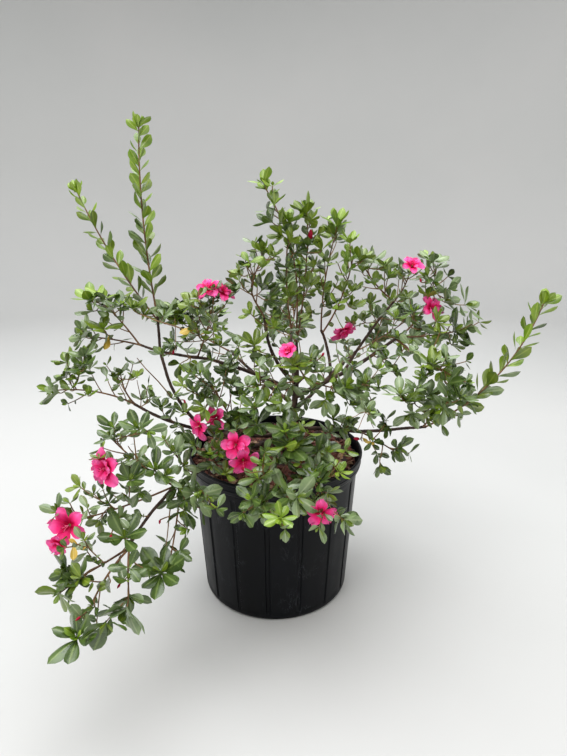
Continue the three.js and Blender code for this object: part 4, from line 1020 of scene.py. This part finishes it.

# Twig tips as they are seen in the photo. After the name of the limb that bears them, each tip has
# its place in the picture, leaf length, number of leaves, tint, and which way in the picture the
# whorl looks. A limb may be named again, for more of them.
# The grey-green tint in this table is partly dust and partly painted sheen, given to leaves that look pale
# where they catch the light.
seenTips = '''
upperLeft: 90 300 22 6 lime 110, 105 299 22 5 lime 80, 93 311 22 4 dusty 150, 112 310 20 5 dusty 90,
    121 306 20 4 deep 90;
leftReach: 133 309 20 6 mid 90, 143 315 19 5 mid 60;
outerLeft: 104 329 24 6 mid 90, 85 337 24 5 dusty 150, 93 330 20 3 dusty 120;
leftBough: 163 317 20 6 dusty 100, 163 354 20 5 deep 100, 176 347 16 2 deep 90, 180 364 20 3 deep 280,
    190 362 18 4 mid 280, 187 353 20 4 dusty 60;
farLeft: 67 363 20 5 mid 130, 84 356 22 6 dusty 100, 84 367 22 5 deep 100, 66 377 22 6 dusty 130,
    79 376 18 4 mid 90, 70 390 18 3 lime 90, 57 393 24 5 dusty 170, 88 396 18 3 lime 90;
lowLeftBough: 118 376 14 6 deep 95, 118 384 12 3 mid 90, 137 377 16 7 mid 90, 148 386 18 2 deep 0,
    162 408 26 6 deep 90, 141 400 18 4 dusty 90, 183 413 22 6 mid 90, 178 427 20 3 deep 150;
budLeft: 114 428 24 5 deep 90, 139 429 28 6 deep 100, 148 431 22 3 dusty 330, 122 435 16 2 deep 180,
    132 458 16 3 deep 180, 99 458 14 5 mid 120;
frontLeftBough: 185 436 22 4 deep 200, 190 446 22 5 deep 150, 155 470 33 6 deep 90,
    166 476 26 5 dusty 40, 178 488 26 5 deep 350, 185 500 24 4 deep 280;
lowPink: 130 480 26 6 deep 60, 122 493 22 4 dusty 270, 109 503 16 4 deep 100, 94 494 15 4 deep 100,
    80 487 18 5 mid 150, 58 512 24 3 dusty 130, 116 518 20 3 deep 100;
dropBough: 124 538 34 6 deep 80, 142 516 14 3 deep 180;
dropInner: 187 529 20 4 deep 180, 161 573 34 8 deep 100;
dropWhorl: 127 608 32 8 dusty 250, 106 622 30 3 deep 270, 128 580 24 2 deep 80, 110 583 26 2 dusty 180;
dropTip: 77 638 32 6 deep 100, 94 607 18 3 deep 180;
dropOuter: 60 593 28 6 mid 240, 67 573 24 6 deep 170, 78 580 24 5 deep 120, 94 562 14 2 deep 70,
    64 548 16 2 deep 220;
pinkLeft: 197 298 20 6 mid 120, 205 310 20 5 deep 100, 190 305 18 5 mid 150, 212 322 24 4 dusty 80,
    222 330 18 3 dusty 10, 195 328 22 3 mid 170, 198 335 20 5 deep 100, 213 290 16 3 deep 90;
crownLeft: 262 252 22 6 mid 110, 246 266 20 4 deep 150, 240 275 22 5 deep 140, 240 288 24 5 deep 180,
    262 268 18 5 lime 90, 274 257 20 5 mid 90, 262 290 28 6 deep 60, 268 300 26 5 deep 20;
topLeftBough: 251 314 18 5 lime 140, 272 316 24 3 deep 20, 274 327 18 6 lime 60, 254 346 28 8 mid 100,
    265 355 26 4 dusty 240, 285 330 22 5 deep 90;
topShoot: 264 184 24 3 lime 110, 274 206 26 3 mid 80, 272 222 26 5 deep 140, 279 224 22 4 dusty 40,
    289 222 24 5 lime 85, 288 235 18 4 lime 90;
midShoot: 283 236 24 5 deep 170, 290 242 22 5 mid 50, 296 252 20 4 deep 30, 288 268 24 5 deep 110,
    286 283 26 3 deep 130, 289 297 26 3 deep 60;
topRightShoot: 306 214 30 4 deep 120, 310 222 22 6 mid 90, 318 234 20 4 deep 10, 308 246 24 6 deep 90,
    322 250 24 3 mid 90, 314 268 22 3 mid 120, 308 288 24 6 deep 90, 324 292 22 3 mid 20,
    312 312 24 5 dusty 160, 326 306 24 5 deep 60;
crownRight: 337 226 26 7 lime 85, 333 236 24 4 dusty 120, 338 234 22 3 dusty 20, 328 262 26 3 mid 90;
rightLime: 350 243 22 6 lime 90, 348 262 20 6 lime 90, 346 275 20 5 lime 120, 342 292 20 5 mid 110,
    352 292 20 5 mid 70, 360 260 24 6 mid 60, 352 308 22 6 deep 60;
rightTop: 372 262 26 5 dusty 60, 384 266 22 4 deep 90, 374 284 22 6 lime 90, 388 278 24 4 deep 60,
    370 305 22 5 deep 90, 362 320 22 6 mid 90;
rightThinBough: 396 318 22 6 lime 90;
rightPink: 433 262 30 6 dusty 90, 428 277 26 5 deep 140, 399 265 22 3 dusty 200;
rightUpper: 433 282 26 4 dusty 350, 428 297 22 5 mid 90, 414 312 24 4 deep 90, 437 322 24 5 mid 30,
    440 335 26 5 dusty 200, 454 331 34 7 deep 20, 465 305 30 5 dusty 20, 452 345 22 4 mid 30;
rightCluster: 434 343 18 5 lime 90, 432 366 28 7 mid 95, 447 366 26 4 deep 60, 452 375 28 5 deep 10,
    448 384 28 6 deep 350, 408 356 20 5 deep 110, 387 358 22 5 deep 90, 424 378 18 5 mid 90;
rightMid: 366 385 28 6 deep 95, 378 388 24 5 dusty 60, 345 388 30 5 dusty 30, 400 395 26 6 dusty 100,
    372 405 26 6 dusty 200, 386 420 24 3 deep 90, 388 426 20 5 deep 200;
rightLow: 406 402 24 6 lime 80, 410 414 28 6 dusty 250, 424 405 22 6 lime 60, 427 414 22 4 mid 350,
    433 395 20 5 mid 90, 443 408 24 6 dusty 200, 460 398 26 6 deep 60;
rightTip: 458 415 22 4 dusty 330;
rightDrop: 399 448 24 7 deep 350, 380 466 24 4 deep 300;
frontWhorl: 291 447 36 9 deep 80, 257 424 30 6 deep 80, 318 452 28 5 deep 330;
frontRim: 262 503 30 7 deep 100, 281 518 20 7 lime 90, 243 513 22 5 deep 250, 290 498 28 4 deep 30;
frontRimPink: 319 482 28 6 deep 100, 339 471 18 6 lime 60, 340 517 26 4 deep 330, 305 503 24 3 deep 250;
frontPinkBough: 217 508 22 3 deep 90;
centreLeft: 228 372 26 6 deep 100, 210 383 24 5 deep 150, 232 385 22 6 dusty 90, 212 393 26 5 dusty 200,
    240 397 26 5 deep 60, 200 375 20 5 deep 100, 193 392 20 5 deep 120, 205 408 22 5 mid 200;
heartLeft: 247 386 22 5 dusty 90, 254 408 26 5 deep 100, 268 401 22 6 lime 80, 240 415 24 5 deep 250;
heartPink: 293 365 30 6 mid 70, 292 385 24 4 dusty 250, 310 360 24 5 deep 90, 293 408 20 4 dusty 270;
heartRight: 311 390 26 5 deep 110, 325 400 24 6 dusty 250, 335 392 32 6 mid 30, 345 385 30 5 dusty 20,
    333 420 24 6 deep 60, 342 428 28 4 deep 340;
frontPink: 232 420 24 5 deep 60, 222 430 22 5 deep 200, 210 455 22 5 deep 90, 225 455 18 4 dusty 60,
    212 465 22 5 deep 250, 225 473 20 5 mid 60, 265 452 20 4 deep 20, 258 478 26 5 deep 90,
    195 445 24 5 deep 150;
frontWhorl: 285 431 30 5 deep 100, 278 459 26 3 dusty 200, 309 458 24 3 dusty 330,
    319 465 22 3 dusty 20, 327 452 22 4 dusty 60, 297 462 14 2 yellow 270, 300 474 22 4 deep 90;
frontRim: 251 499 24 4 deep 120, 263 513 22 4 dusty 250, 297 497 30 4 dusty 0, 283 490 32 4 dusty 60,
    285 529 24 2 dusty 280;
frontRimPink: 313 473 24 4 deep 120, 327 493 26 4 dusty 300, 311 490 22 3 dusty 200,
    345 520 26 4 dusty 340, 319 527 22 2 dusty 260, 345 450 18 3 mid 60;
frontPink: 203 491 24 3 dusty 200, 191 488 26 4 dusty 180, 208 496 20 2 deep 300, 218 450 20 5 mid 90,
    262 463 18 4 mid 90;
heartLeft: 270 372 20 5 dusty 120, 280 412 22 5 dusty 100, 298 420 22 5 deep 90;
heartPink: 318 372 22 4 deep 60, 305 400 20 5 dusty 200;
heartRight: 350 405 24 5 dusty 40, 330 432 24 5 dusty 60, 345 418 22 4 dusty 0;
centreLeft: 232 358 18 5 deep 120, 192 372 18 4 deep 150, 205 398 20 5 deep 160, 183 386 16 4 mid 150;
leftBough: 220 346 18 5 deep 100, 212 360 18 5 deep 150, 197 328 20 1 yellow 190,
    109 335 20 1 yellow 265;
rightMid: 378 370 22 5 dusty 80, 350 425 20 4 deep 0, 366 412 22 5 dusty 30, 345 345 20 4 dusty 90;
rightCluster: 395 372 22 5 deep 90, 376 350 20 5 mid 90, 418 388 22 5 dusty 90, 466 382 20 4 dusty 10;
rightUpper: 398 338 20 5 deep 90, 422 328 22 5 deep 90, 445 302 22 4 dusty 40, 448 289 26 3 dusty 10;
rightTop: 404 300 20 5 deep 90, 390 302 20 5 deep 90, 378 318 20 5 dusty 90, 362 272 20 5 mid 90,
    352 325 20 5 dusty 90;
rightLow: 437 405 34 7 mid 280, 413 399 26 6 mid 80, 470 402 22 4 deep 20, 450 398 24 5 dusty 90,
    428 396 22 5 dusty 100;
rightDrop: 362 441 18 1 yellow 0;
dropOuter: 74 544 15 1 yellow 280, 84 540 18 3 dusty 90;
lowPink: 100 520 20 3 dusty 250, 140 492 22 4 dusty 300, 112 462 18 3 dusty 60;
dropInner: 197 495 34 4 dusty 10, 184 510 26 3 deep 280, 170 500 20 3 dusty 250;
lowLeftBough: 150 398 18 4 dusty 60, 172 398 18 4 deep 90, 170 418 20 4 dusty 120;
frontLeftBough: 165 440 20 4 dusty 120, 175 452 24 5 dusty 100, 183 466 24 5 dusty 30
'''
seenTwig = {
    'backwards': 0.55, 'lowest': 0.02,  # how far back along its limb a twig starts, for its length
    'nearer': (4, 24), 'shortest': 9,  # how much nearer to the camera its tip is than its limb
    'depthCost': 0.3, 'otherLimb': 6,  # how much less a fork counts at another depth or on another limb
    'radius': (0.95, 0.65), 'sags': [(0.35, 0.04), (0.7, 0.05)], 'arch': 0.06,
    'firstFork': 0.3, 'forks': 6, 'limbForks': 61,
    'lean': (38, 72), 'crownLean': (20, 54), 'crownOlive': 0.5,
    'loneFrom': 22, 'loneSpacing': 16, 'loneSize': 0.8, 'seed': 9000,
    'enlarged': 1.1,  # all the leaves, and then those of some limbs
    'more': {'upperLeft': 1.3, 'outerLeft': 1.3, 'leftReach': 1.3, 'farLeft': 1.2, 'leftBough': 1.2,
             'pinkLeft': 1.15, 'frontRim': 1.05, 'dropTip': 1.1, 'dropInner': 1.1, 'dropWhorl': 1.1,
             'dropOuter': 1.1},
    'towardsEye': 0.5,  # how much a whorl turns to the camera, and on some limbs more
    'facing': {'frontWhorl': 1.5, 'frontRim': 1, 'frontRimPink': 0.7, 'frontPink': 0.9, 'dropInner': 0.9,
               'dropTip': 0.9, 'dropBough': 0.9, 'dropWhorl': 0.9, 'dropOuter': 0.8, 'budLeft': 0.8,
               'lowPink': 0.8, 'frontLeftBough': 0.8, 'centreLeft': 0.8, 'heartLeft': 0.8,
               'heartPink': 0.8, 'heartRight': 0.8},
}
# Bare sticks: the limb each stands on, where its foot and its tip are in the picture, and its radius
stick = {'nearer': (0, 14), 'lift': 1.5, 'dip': 1, 'taper': 0.6}
bareSticks = [
    ('lowLeftBough', 167, 397, 137, 358, 1.1), ('leftBough', 197, 345, 140, 314, 1.2),
    ('leftBough', 178, 334, 175, 318, 0.8), ('lowLeftBough', 126, 402, 119, 384, 0.8),
    ('lowLeftBough', 141, 396, 137, 380, 0.8), ('frontPinkBough', 245, 425, 205, 446, 0.9),
    ('frontPinkBough', 238, 418, 196, 470, 0.8), ('frontPinkBough', 236, 440, 214, 478, 0.8),
    ('rightMid', 364, 425, 352, 417, 0.6), ('rightMid', 364, 425, 357, 431, 0.6),
    ('rightMid', 364, 425, 370, 414, 0.6), ('rightMid', 364, 425, 374, 428, 0.6),
    ('lowPink', 110, 508, 96, 520, 0.8), ('dropBough', 150, 522, 118, 556, 0.9),
    ('dropInner', 172, 500, 166, 546, 1), ('dropOuter', 100, 566, 74, 580, 0.9),
    ('dropTip', 108, 590, 96, 626, 0.9), ('budLeft', 150, 462, 128, 446, 1),
    ('budLeft', 128, 446, 112, 436, 0.9),
]
picture = {'width': 567, 'height': 756}
focal = camera['focalLength'] / camera['sensorWidth'] * max(picture.values())
pitch = math.radians(camera['pitchDown'])
eyePlace = Vector(camera['place'])
eyeRight = Vector((1, 0, 0))
eyeUp = Vector((0, math.sin(pitch), math.cos(pitch)))
eyeForward = Vector((0, math.cos(pitch), -math.sin(pitch)))


def sightLine(x, y):  # the way from the camera through a place in the picture
    across, up = x - picture['width'] / 2, picture['height'] / 2 - y
    return (eyeForward * focal + eyeRight * across + eyeUp * up).normalized()


def readTips(text):
    for limb in text.split(';'):
        bearer, rows = limb.split(':')
        for row in rows.split(','):
            x, y, leafLength, leaves, tint, look = row.split()
            yield bearer.strip(), int(x), int(y), int(leafLength), int(leaves), tint, int(look)


# Places along the limbs, and along each twig once it is there, that a further twig can fork from
forks = []
farAway = 1e9


def addForks(name, path, first, count):
    for i in range(count):
        share = first + (1 - first) * i / (count - 1)
        forks.append((name, path, share, tuple(pointAt(path, share))))


def nearestFork(bearer, line):  # the one closest to a line of sight, at about the named limb's depth
    away = np.array([fork[3] for fork in forks]) - np.array(eyePlace)
    along = away @ np.array(line)
    distance = np.linalg.norm(away - along[:, None] * np.array(line), axis=1)
    other = np.array([fork[0] != bearer for fork in forks])
    depth = along[np.where(other, farAway, distance).argmin()]
    cost = distance + seenTwig['depthCost'] * abs(along - depth) + seenTwig['otherLimb'] * other
    best = cost.argmin()
    return float(distance[best]), float(along[best]), *forks[best][1:3]


def twigTowards(bearer, x, y, look, draw):  # from the nearest fork to a place in the picture
    line = sightLine(x, y)
    distance, along, path, share = nearestFork(bearer, line)
    depth = along - drawn(draw, seenTwig['nearer']) - max(seenTwig['shortest'] - distance, 0)
    tip = eyePlace + line * depth
    back = seenTwig['backwards'] * (tip - pointAt(path, share)).length / pathLength(path)
    foot = pointAt(path, max(share - back, seenTwig['lowest']))
    look = math.radians(look)
    facing = seenTwig['facing'].get(bearer, seenTwig['towardsEye'])
    axis = (eyeRight * math.cos(look) + eyeUp * math.sin(look) - eyeForward * facing).normalized()
    reach = (tip - foot).length
    lower, upper = [foot.lerp(tip, at) + Vector((0, 0, -sag)) * reach for at, sag in seenTwig['sags']]
    return axis, reach, [foot, lower, upper - axis * reach * seenTwig['arch'], tip]


def growSeenTip(bearer, x, y, leafLength, leaves, tint, look, draw):
    crown = bearer in crownMasses
    leafLength *= seenTwig['enlarged'] * seenTwig['more'].get(bearer, 1)
    axis, reach, twig = twigTowards(bearer, x, y, look, draw)
    if hitsPot(twig[-1]):
        return
    twigRuns.append((twig, radiiAlong(len(twig), seenTwig['radius'])))
    addForks(bearer, twig, seenTwig['firstFork'], seenTwig['forks'])
    if crown and tint in ('deep', 'dusty') and draw() < seenTwig['crownOlive']:
        tint = 'mid'
    if leaves == 1:
        roll = drawn(draw, growth['whorlRoll'])
        growLeaf(twig[-1], axis, eyeUp - eyeForward, leafLength, roll, tint, draw)
    else:
        lean = seenTwig['crownLean' if crown else 'lean']
        growWhorl(twig[-1], axis, leafLength, draw, tint, leaves, lean)
    if reach > seenTwig['loneFrom']:
        lone = round(reach / seenTwig['loneSpacing'])
        growSingles(twig, lone, leafLength * seenTwig['loneSize'], draw, tint)


def growStick(bearer, x, y, tipX, tipY, radius, draw):
    along, path, share = nearestFork(bearer, sightLine(x, y))[1:]
    foot = pointAt(path, share)
    tip = eyePlace + sightLine(tipX, tipY) * (along - drawn(draw, stick['nearer']))
    twigRuns.append(([foot, foot.lerp(tip, 0.4) + Vector((0, 0, stick['lift'])),
                      foot.lerp(tip, 0.75) - Vector((0, 0, stick['dip'])), tip],
                     radiiAlong(4, (radius, radius * stick['taper']))))


for name, path in {**paths, **stems}.items():
    addForks(name, path, 0, seenTwig['limbForks'])
tips = list(readTips(seenTips))
gaps = [nearestFork(tip[0], sightLine(*tip[1:3]))[0] for tip in tips]
for order in sorted(range(len(tips)), key=lambda order: gaps[order]):  # those close to a limb first
    growSeenTip(*tips[order], randomFrom(seenTwig['seed'] + order))
for row in bareSticks:
    growStick(*row, randomFrom(row[1]))
print('grown in all:', leafCount())

finishPiece('stems', tubesAlong(stemRuns, sides=8, smoothness=4), finishes['stem'], massNames)
finishPiece('twigs', tubesAlong(twigRuns, sides=6, smoothness=2), finishes['twig'])
for tint, lots in leafPlaces.items():
    if any(lots):
        finishPiece(tint + 'Leaves', joinedCopies(list(zip(blades, lots))), finishes[tint])
print('leaves made')


# Flowers

flower = {
    'petals': 5, 'width': 0.72, 'across': 5, 'along': 6, 'ruffle': 0.09, 'seeds': (1, 2, 3),
    'rings': {'outer': 0.95, 'inner': 0.55, 'closed': 0.12},  # how far the petals of each ring flare
    'openFrom': 0.75, 'tube': 5, 'innerSize': 0.74, 'innerTurn': 0.6, 'petalStray': 0.12,
    'petalSize': (0.9, 1.1), 'size': (0.72, 0.28), 'stalkRadii': [0.8, 0.75, 1.1],
    'stamens': 5, 'stamenLength': (10, 15), 'stamenRadius': 0.3, 'stamenTurn': 60,
    'stamenStray': (-20, 20), 'stamenLean': (8, 26), 'seed': 12,
}
# Mass, share of the way along its stem, heading, rise and length of the stalk, how open the flower
# is, how many inner petals it has, and their reach
bloomColumns = ['mass', 'share', 'heading', 'rise', 'stalk', 'open', 'inner', 'reach']
blooms = [
    ['pinkLeft', 0.95, 248, 54, 27, 0.9, 0, 22], ['pinkLeft', 0.9, 321, 45, 32, 0.8, 3, 20],
    ['budLeft', 0.65, 238, 6, 46, 0.9, 5, 28], ['lowPink', 0.95, 260, 16, 26, 1, 0, 25],
    ['lowPink', 0.92, 254, -6, 46, 0.7, 3, 20], ['frontPink', 0.92, 269, 17, 28, 1, 2, 23],
    ['frontPink', 0.85, 286, -16, 44, 1, 0, 23], ['centreLeft', 0.45, 226, -2, 58, 0.8, 0, 22],
    ['centreLeft', 0.45, 237, 8, 34, 0.9, 0, 22], ['rightLime', 0.3, 302, -44, 36, 0.9, 3, 24],
    ['heartPink', 0.93, 236, 48, 32, 0.7, 2, 20], ['rightPink', 0.92, 277, 52, 27, 0.8, 2, 20],
    ['rightUpper', 0.35, 296, 30, 32, 0.85, 3, 20], ['frontRimPink', 0.95, 271, -6, 44, 1, 0, 22],
]
blooms = [dict(zip(bloomColumns, row)) for row in blooms]


# A petal one unit long: it stands up out of the tube, then flares out and rolls back
def petalShape(flare, seed):
    bm = bmesh.new()
    bm.loops.layers.uv.new('bladeMap')
    bmesh.ops.create_grid(bm, x_segments=flower['across'], y_segments=flower['along'],
                          size=0.5, calc_uvs=True)
    for vert in bm.verts:
        along, side = vert.co.y + 0.5, vert.co.x * 2
        swell = max(math.sin(math.pi * (0.03 + 0.93 * along ** 1.4)), 0) ** 0.65
        half = flower['width'] / 2 * (0.1 + 0.9 * swell)
        out = 0.06 + 0.94 * along ** (1 + 0.5 * (1 - flare)) * (0.35 + 0.65 * flare)
        up = 0.62 * (1 - (1 - along) ** 2) * (1.5 - 1.15 * flare) - 0.22 * flare * max(along - 0.55, 0)
        wave = flower['ruffle'] * math.sin(side * 5 + seed) * along ** 2
        wave += flower['ruffle'] * 1.2 * noise.noise(Vector((side * 2, along * 3, seed * 5)))
        cup = 0.16 * side * side * (1 - 0.6 * along)  # hollow across, most at its foot
        vert.co = (side * half, out, up + wave + cup)
    return meshFrom(bm)


def anther():
    bm = bmesh.new()
    bmesh.ops.create_icosphere(bm, subdivisions=1, radius=0.9)
    bmesh.ops.scale(bm, vec=(0.7, 0.7, 1.3), verts=bm.verts)
    return meshFrom(bm)


def squareTo(way, turn):  # a frame whose Z runs along a way
    return way.to_track_quat('Z', 'Y').to_matrix().to_4x4() @ Matrix.Rotation(turn, 4, 'Z')


petalShapes = {(ring, seed): petalShape(flare, seed)
               for ring, flare in flower['rings'].items() for seed in flower['seeds']}
petalPlaces = {key: [] for key in petalShapes}
filamentRuns, anthers, stalkRuns = [], [], []
flowerDraws = random.Random(flower['seed'])


def placePetals(ring, count, heart, way, size, start):
    stray = flower['petalStray']
    for i in range(count):
        turn = start + (i + flowerDraws.uniform(-stray, stray)) * 2 * math.pi / count
        scale = size * flowerDraws.uniform(*flower['petalSize'])
        place = Matrix.Translation(heart) @ squareTo(way, turn) @ Matrix.Scale(scale, 4)
        petalPlaces[ring, flowerDraws.choice(flower['seeds'])].append(place)


def placeStamens(heart, way, isOpen):
    for i in range(flower['stamens']):
        lean = leant(way, i * flower['stamenTurn'] + flowerDraws.uniform(*flower['stamenStray']),
                     flowerDraws.uniform(*flower['stamenLean']))
        length = flowerDraws.uniform(*flower['stamenLength']) * (0.6 + 0.4 * isOpen)
        middle = heart + way * length * 0.5
        tip = heart + lean * length
        filamentRuns.append(([heart, middle.lerp(tip, 0.4), tip], [flower['stamenRadius']] * 3))
        anthers.append(Matrix.Translation(tip) @ squareTo(lean, 0))


def growFlower(foot, heading, rise, stalk, isOpen, inner, reach):
    way = directionOf(heading, rise)
    heart = foot + way * (stalk - flower['tube'])
    sagged = foot.lerp(heart, 0.5) - Vector((0, 0, 1.5))
    stalkRuns.append(([foot, sagged, heart + way * 3], flower['stalkRadii']))
    start = flowerDraws.uniform(0, 6)
    closed, more = flower['size']
    size = reach * (closed + more * isOpen)
    rings = ('outer', 'inner') if isOpen > flower['openFrom'] else ('inner', 'closed')
    placePetals(rings[0], flower['petals'], heart, way, size, start)
    placePetals(rings[1], inner, heart, way, size * flower['innerSize'], start + flower['innerTurn'])
    placeStamens(heart, way, isOpen)


for bloom in blooms:
    growFlower(pointAt(stems[bloom['mass']], bloom['share']), bloom['heading'], bloom['rise'],
               bloom['stalk'], bloom['open'], bloom['inner'], bloom['reach'])

finishPiece('petals', joinedCopies([(petalShapes[key], petalPlaces[key]) for key in petalShapes]),
            finishes['petal'])
finishPiece('filaments', tubesAlong(filamentRuns, sides=4, smoothness=3), finishes['stamen'])
finishPiece('anthers', joinedCopies([(anther(), anthers)]), finishes['bud'])
finishPiece('flowerStalks', tubesAlong(stalkRuns, sides=6, smoothness=3), finishes['mid'])

# Buds: the limb that bears each, its place in the picture, its length and which way it looks there
bud = {
    'width': 0.46, 'petals': 5, 'twist': 0.9, 'fold': 0.12, 'narrowing': 0.35,
    'seat': 0.45, 'size': 0.55, 'stalkRadius': (0.7, 0.9),
}
buds = [
    ('topRightShoot', 310, 239, 14, 85), ('rightDrop', 359, 439, 10, 170), ('lowPink', 111, 535, 7, 280),
    ('dropWhorl', 120, 584, 6, 240), ('dropTip', 80, 617, 6, 215), ('leftBough', 173, 354, 7, 70),
    ('lowLeftBough', 184, 400, 7, 300), ('rightPink', 421, 282, 6, 110),
    ('heartPink', 322, 356, 7, 60), ('frontRim', 243, 470, 7, 100), ('dropInner', 160, 520, 6, 270),
]


# A bud with its petals folded round one another, two units long and under one across
def budShape():
    bm = bmesh.new()
    bmesh.ops.create_uvsphere(bm, u_segments=10, v_segments=8, radius=1)
    for vert in bm.verts:
        height = vert.co.z
        turn = math.atan2(vert.co.y, vert.co.x) + height * bud['twist']
        fold = 1 + bud['fold'] * math.cos(bud['petals'] * turn)
        narrow = fold * (1 - bud['narrowing'] * max(height, 0))
        vert.co = (vert.co.x * narrow * bud['width'], vert.co.y * narrow * bud['width'], height)
    bmesh.ops.triangulate(bm, faces=bm.faces)
    return meshFrom(bm)


budPlaces, budStalks = [], []
for bearer, x, y, length, look in buds:
    way, _, stalk = twigTowards(bearer, x, y, look, randomFrom(x))
    middle = stalk[-1] + way * length * bud['seat']
    budPlaces.append(Matrix.Translation(middle) @ squareTo(way, 0) @ Matrix.Scale(length * bud['size'], 4))
    budStalks.append((stalk, radiiAlong(4, bud['stalkRadius'])))
finishPiece('buds', joinedCopies([(budShape(), budPlaces)]), finishes['bud'])
finishPiece('budStalks', tubesAlong(budStalks, sides=6, smoothness=2), finishes['twig'])
print('flowers made')


# Studio

studio = {
    'floorRadius': 3400, 'sweep': 900, 'wallHeight': 3000,
    'worldColour': '#eef1f4', 'worldStrength': 0.66,
    'lamps': [  # place, aimed at, size, watts, colour
        [(-200, 300, 2400), (0, 0, 350), 2600, 76, '#fbfdff'],
        [(-1500, -1700, 1900), (0, 0, 330), 1200, 24, '#ffffff'],
        [(1700, -900, 1500), (0, 0, 330), 1200, 8, '#fff8f0'],
    ],
}


def sweptFloor():
    section = [(0, 0), (400, 0), (1600, 0), (studio['floorRadius'] - studio['sweep'], 0)]
    for step in range(1, 13):
        turn = math.radians(step * 7.5)
        section.append((studio['floorRadius'] - studio['sweep'] * (1 - math.sin(turn)),
                        studio['sweep'] * (1 - math.cos(turn))))
    section.append((studio['floorRadius'], studio['wallHeight']))
    bm = spunSection(section, 96)
    bmesh.ops.reverse_faces(bm, faces=bm.faces)
    return meshFrom(bm)


floorMesh = sweptFloor()
floorMesh.transform(Matrix.Scale(mm, 4))
floorMesh.materials.append(floorPaint)
floor = bpy.data.objects.new('studioFloor', floorMesh)
scene.collection.objects.link(floor)

for i, (place, target, size, watts, tint) in enumerate(studio['lamps']):
    lamp = bpy.data.lights.new('softLamp' + str(i), 'AREA')
    lamp.size = size * mm
    lamp.energy = watts
    lamp.color = colour(tint)[:3]
    lampObject = bpy.data.objects.new(lamp.name, lamp)
    lampObject.location = Vector(place) * mm
    lampObject.rotation_euler = (Vector(target) - Vector(place)).to_track_quat('-Z', 'Y').to_euler()
    scene.collection.objects.link(lampObject)

world = bpy.data.worlds.new('studioSky')
world.use_nodes = True
world.node_tree.nodes['Background'].inputs['Color'].default_value = colour(studio['worldColour'])
world.node_tree.nodes['Background'].inputs['Strength'].default_value = studio['worldStrength']
scene.world = world
scene.view_settings.view_transform = 'Standard'
print('studio set')
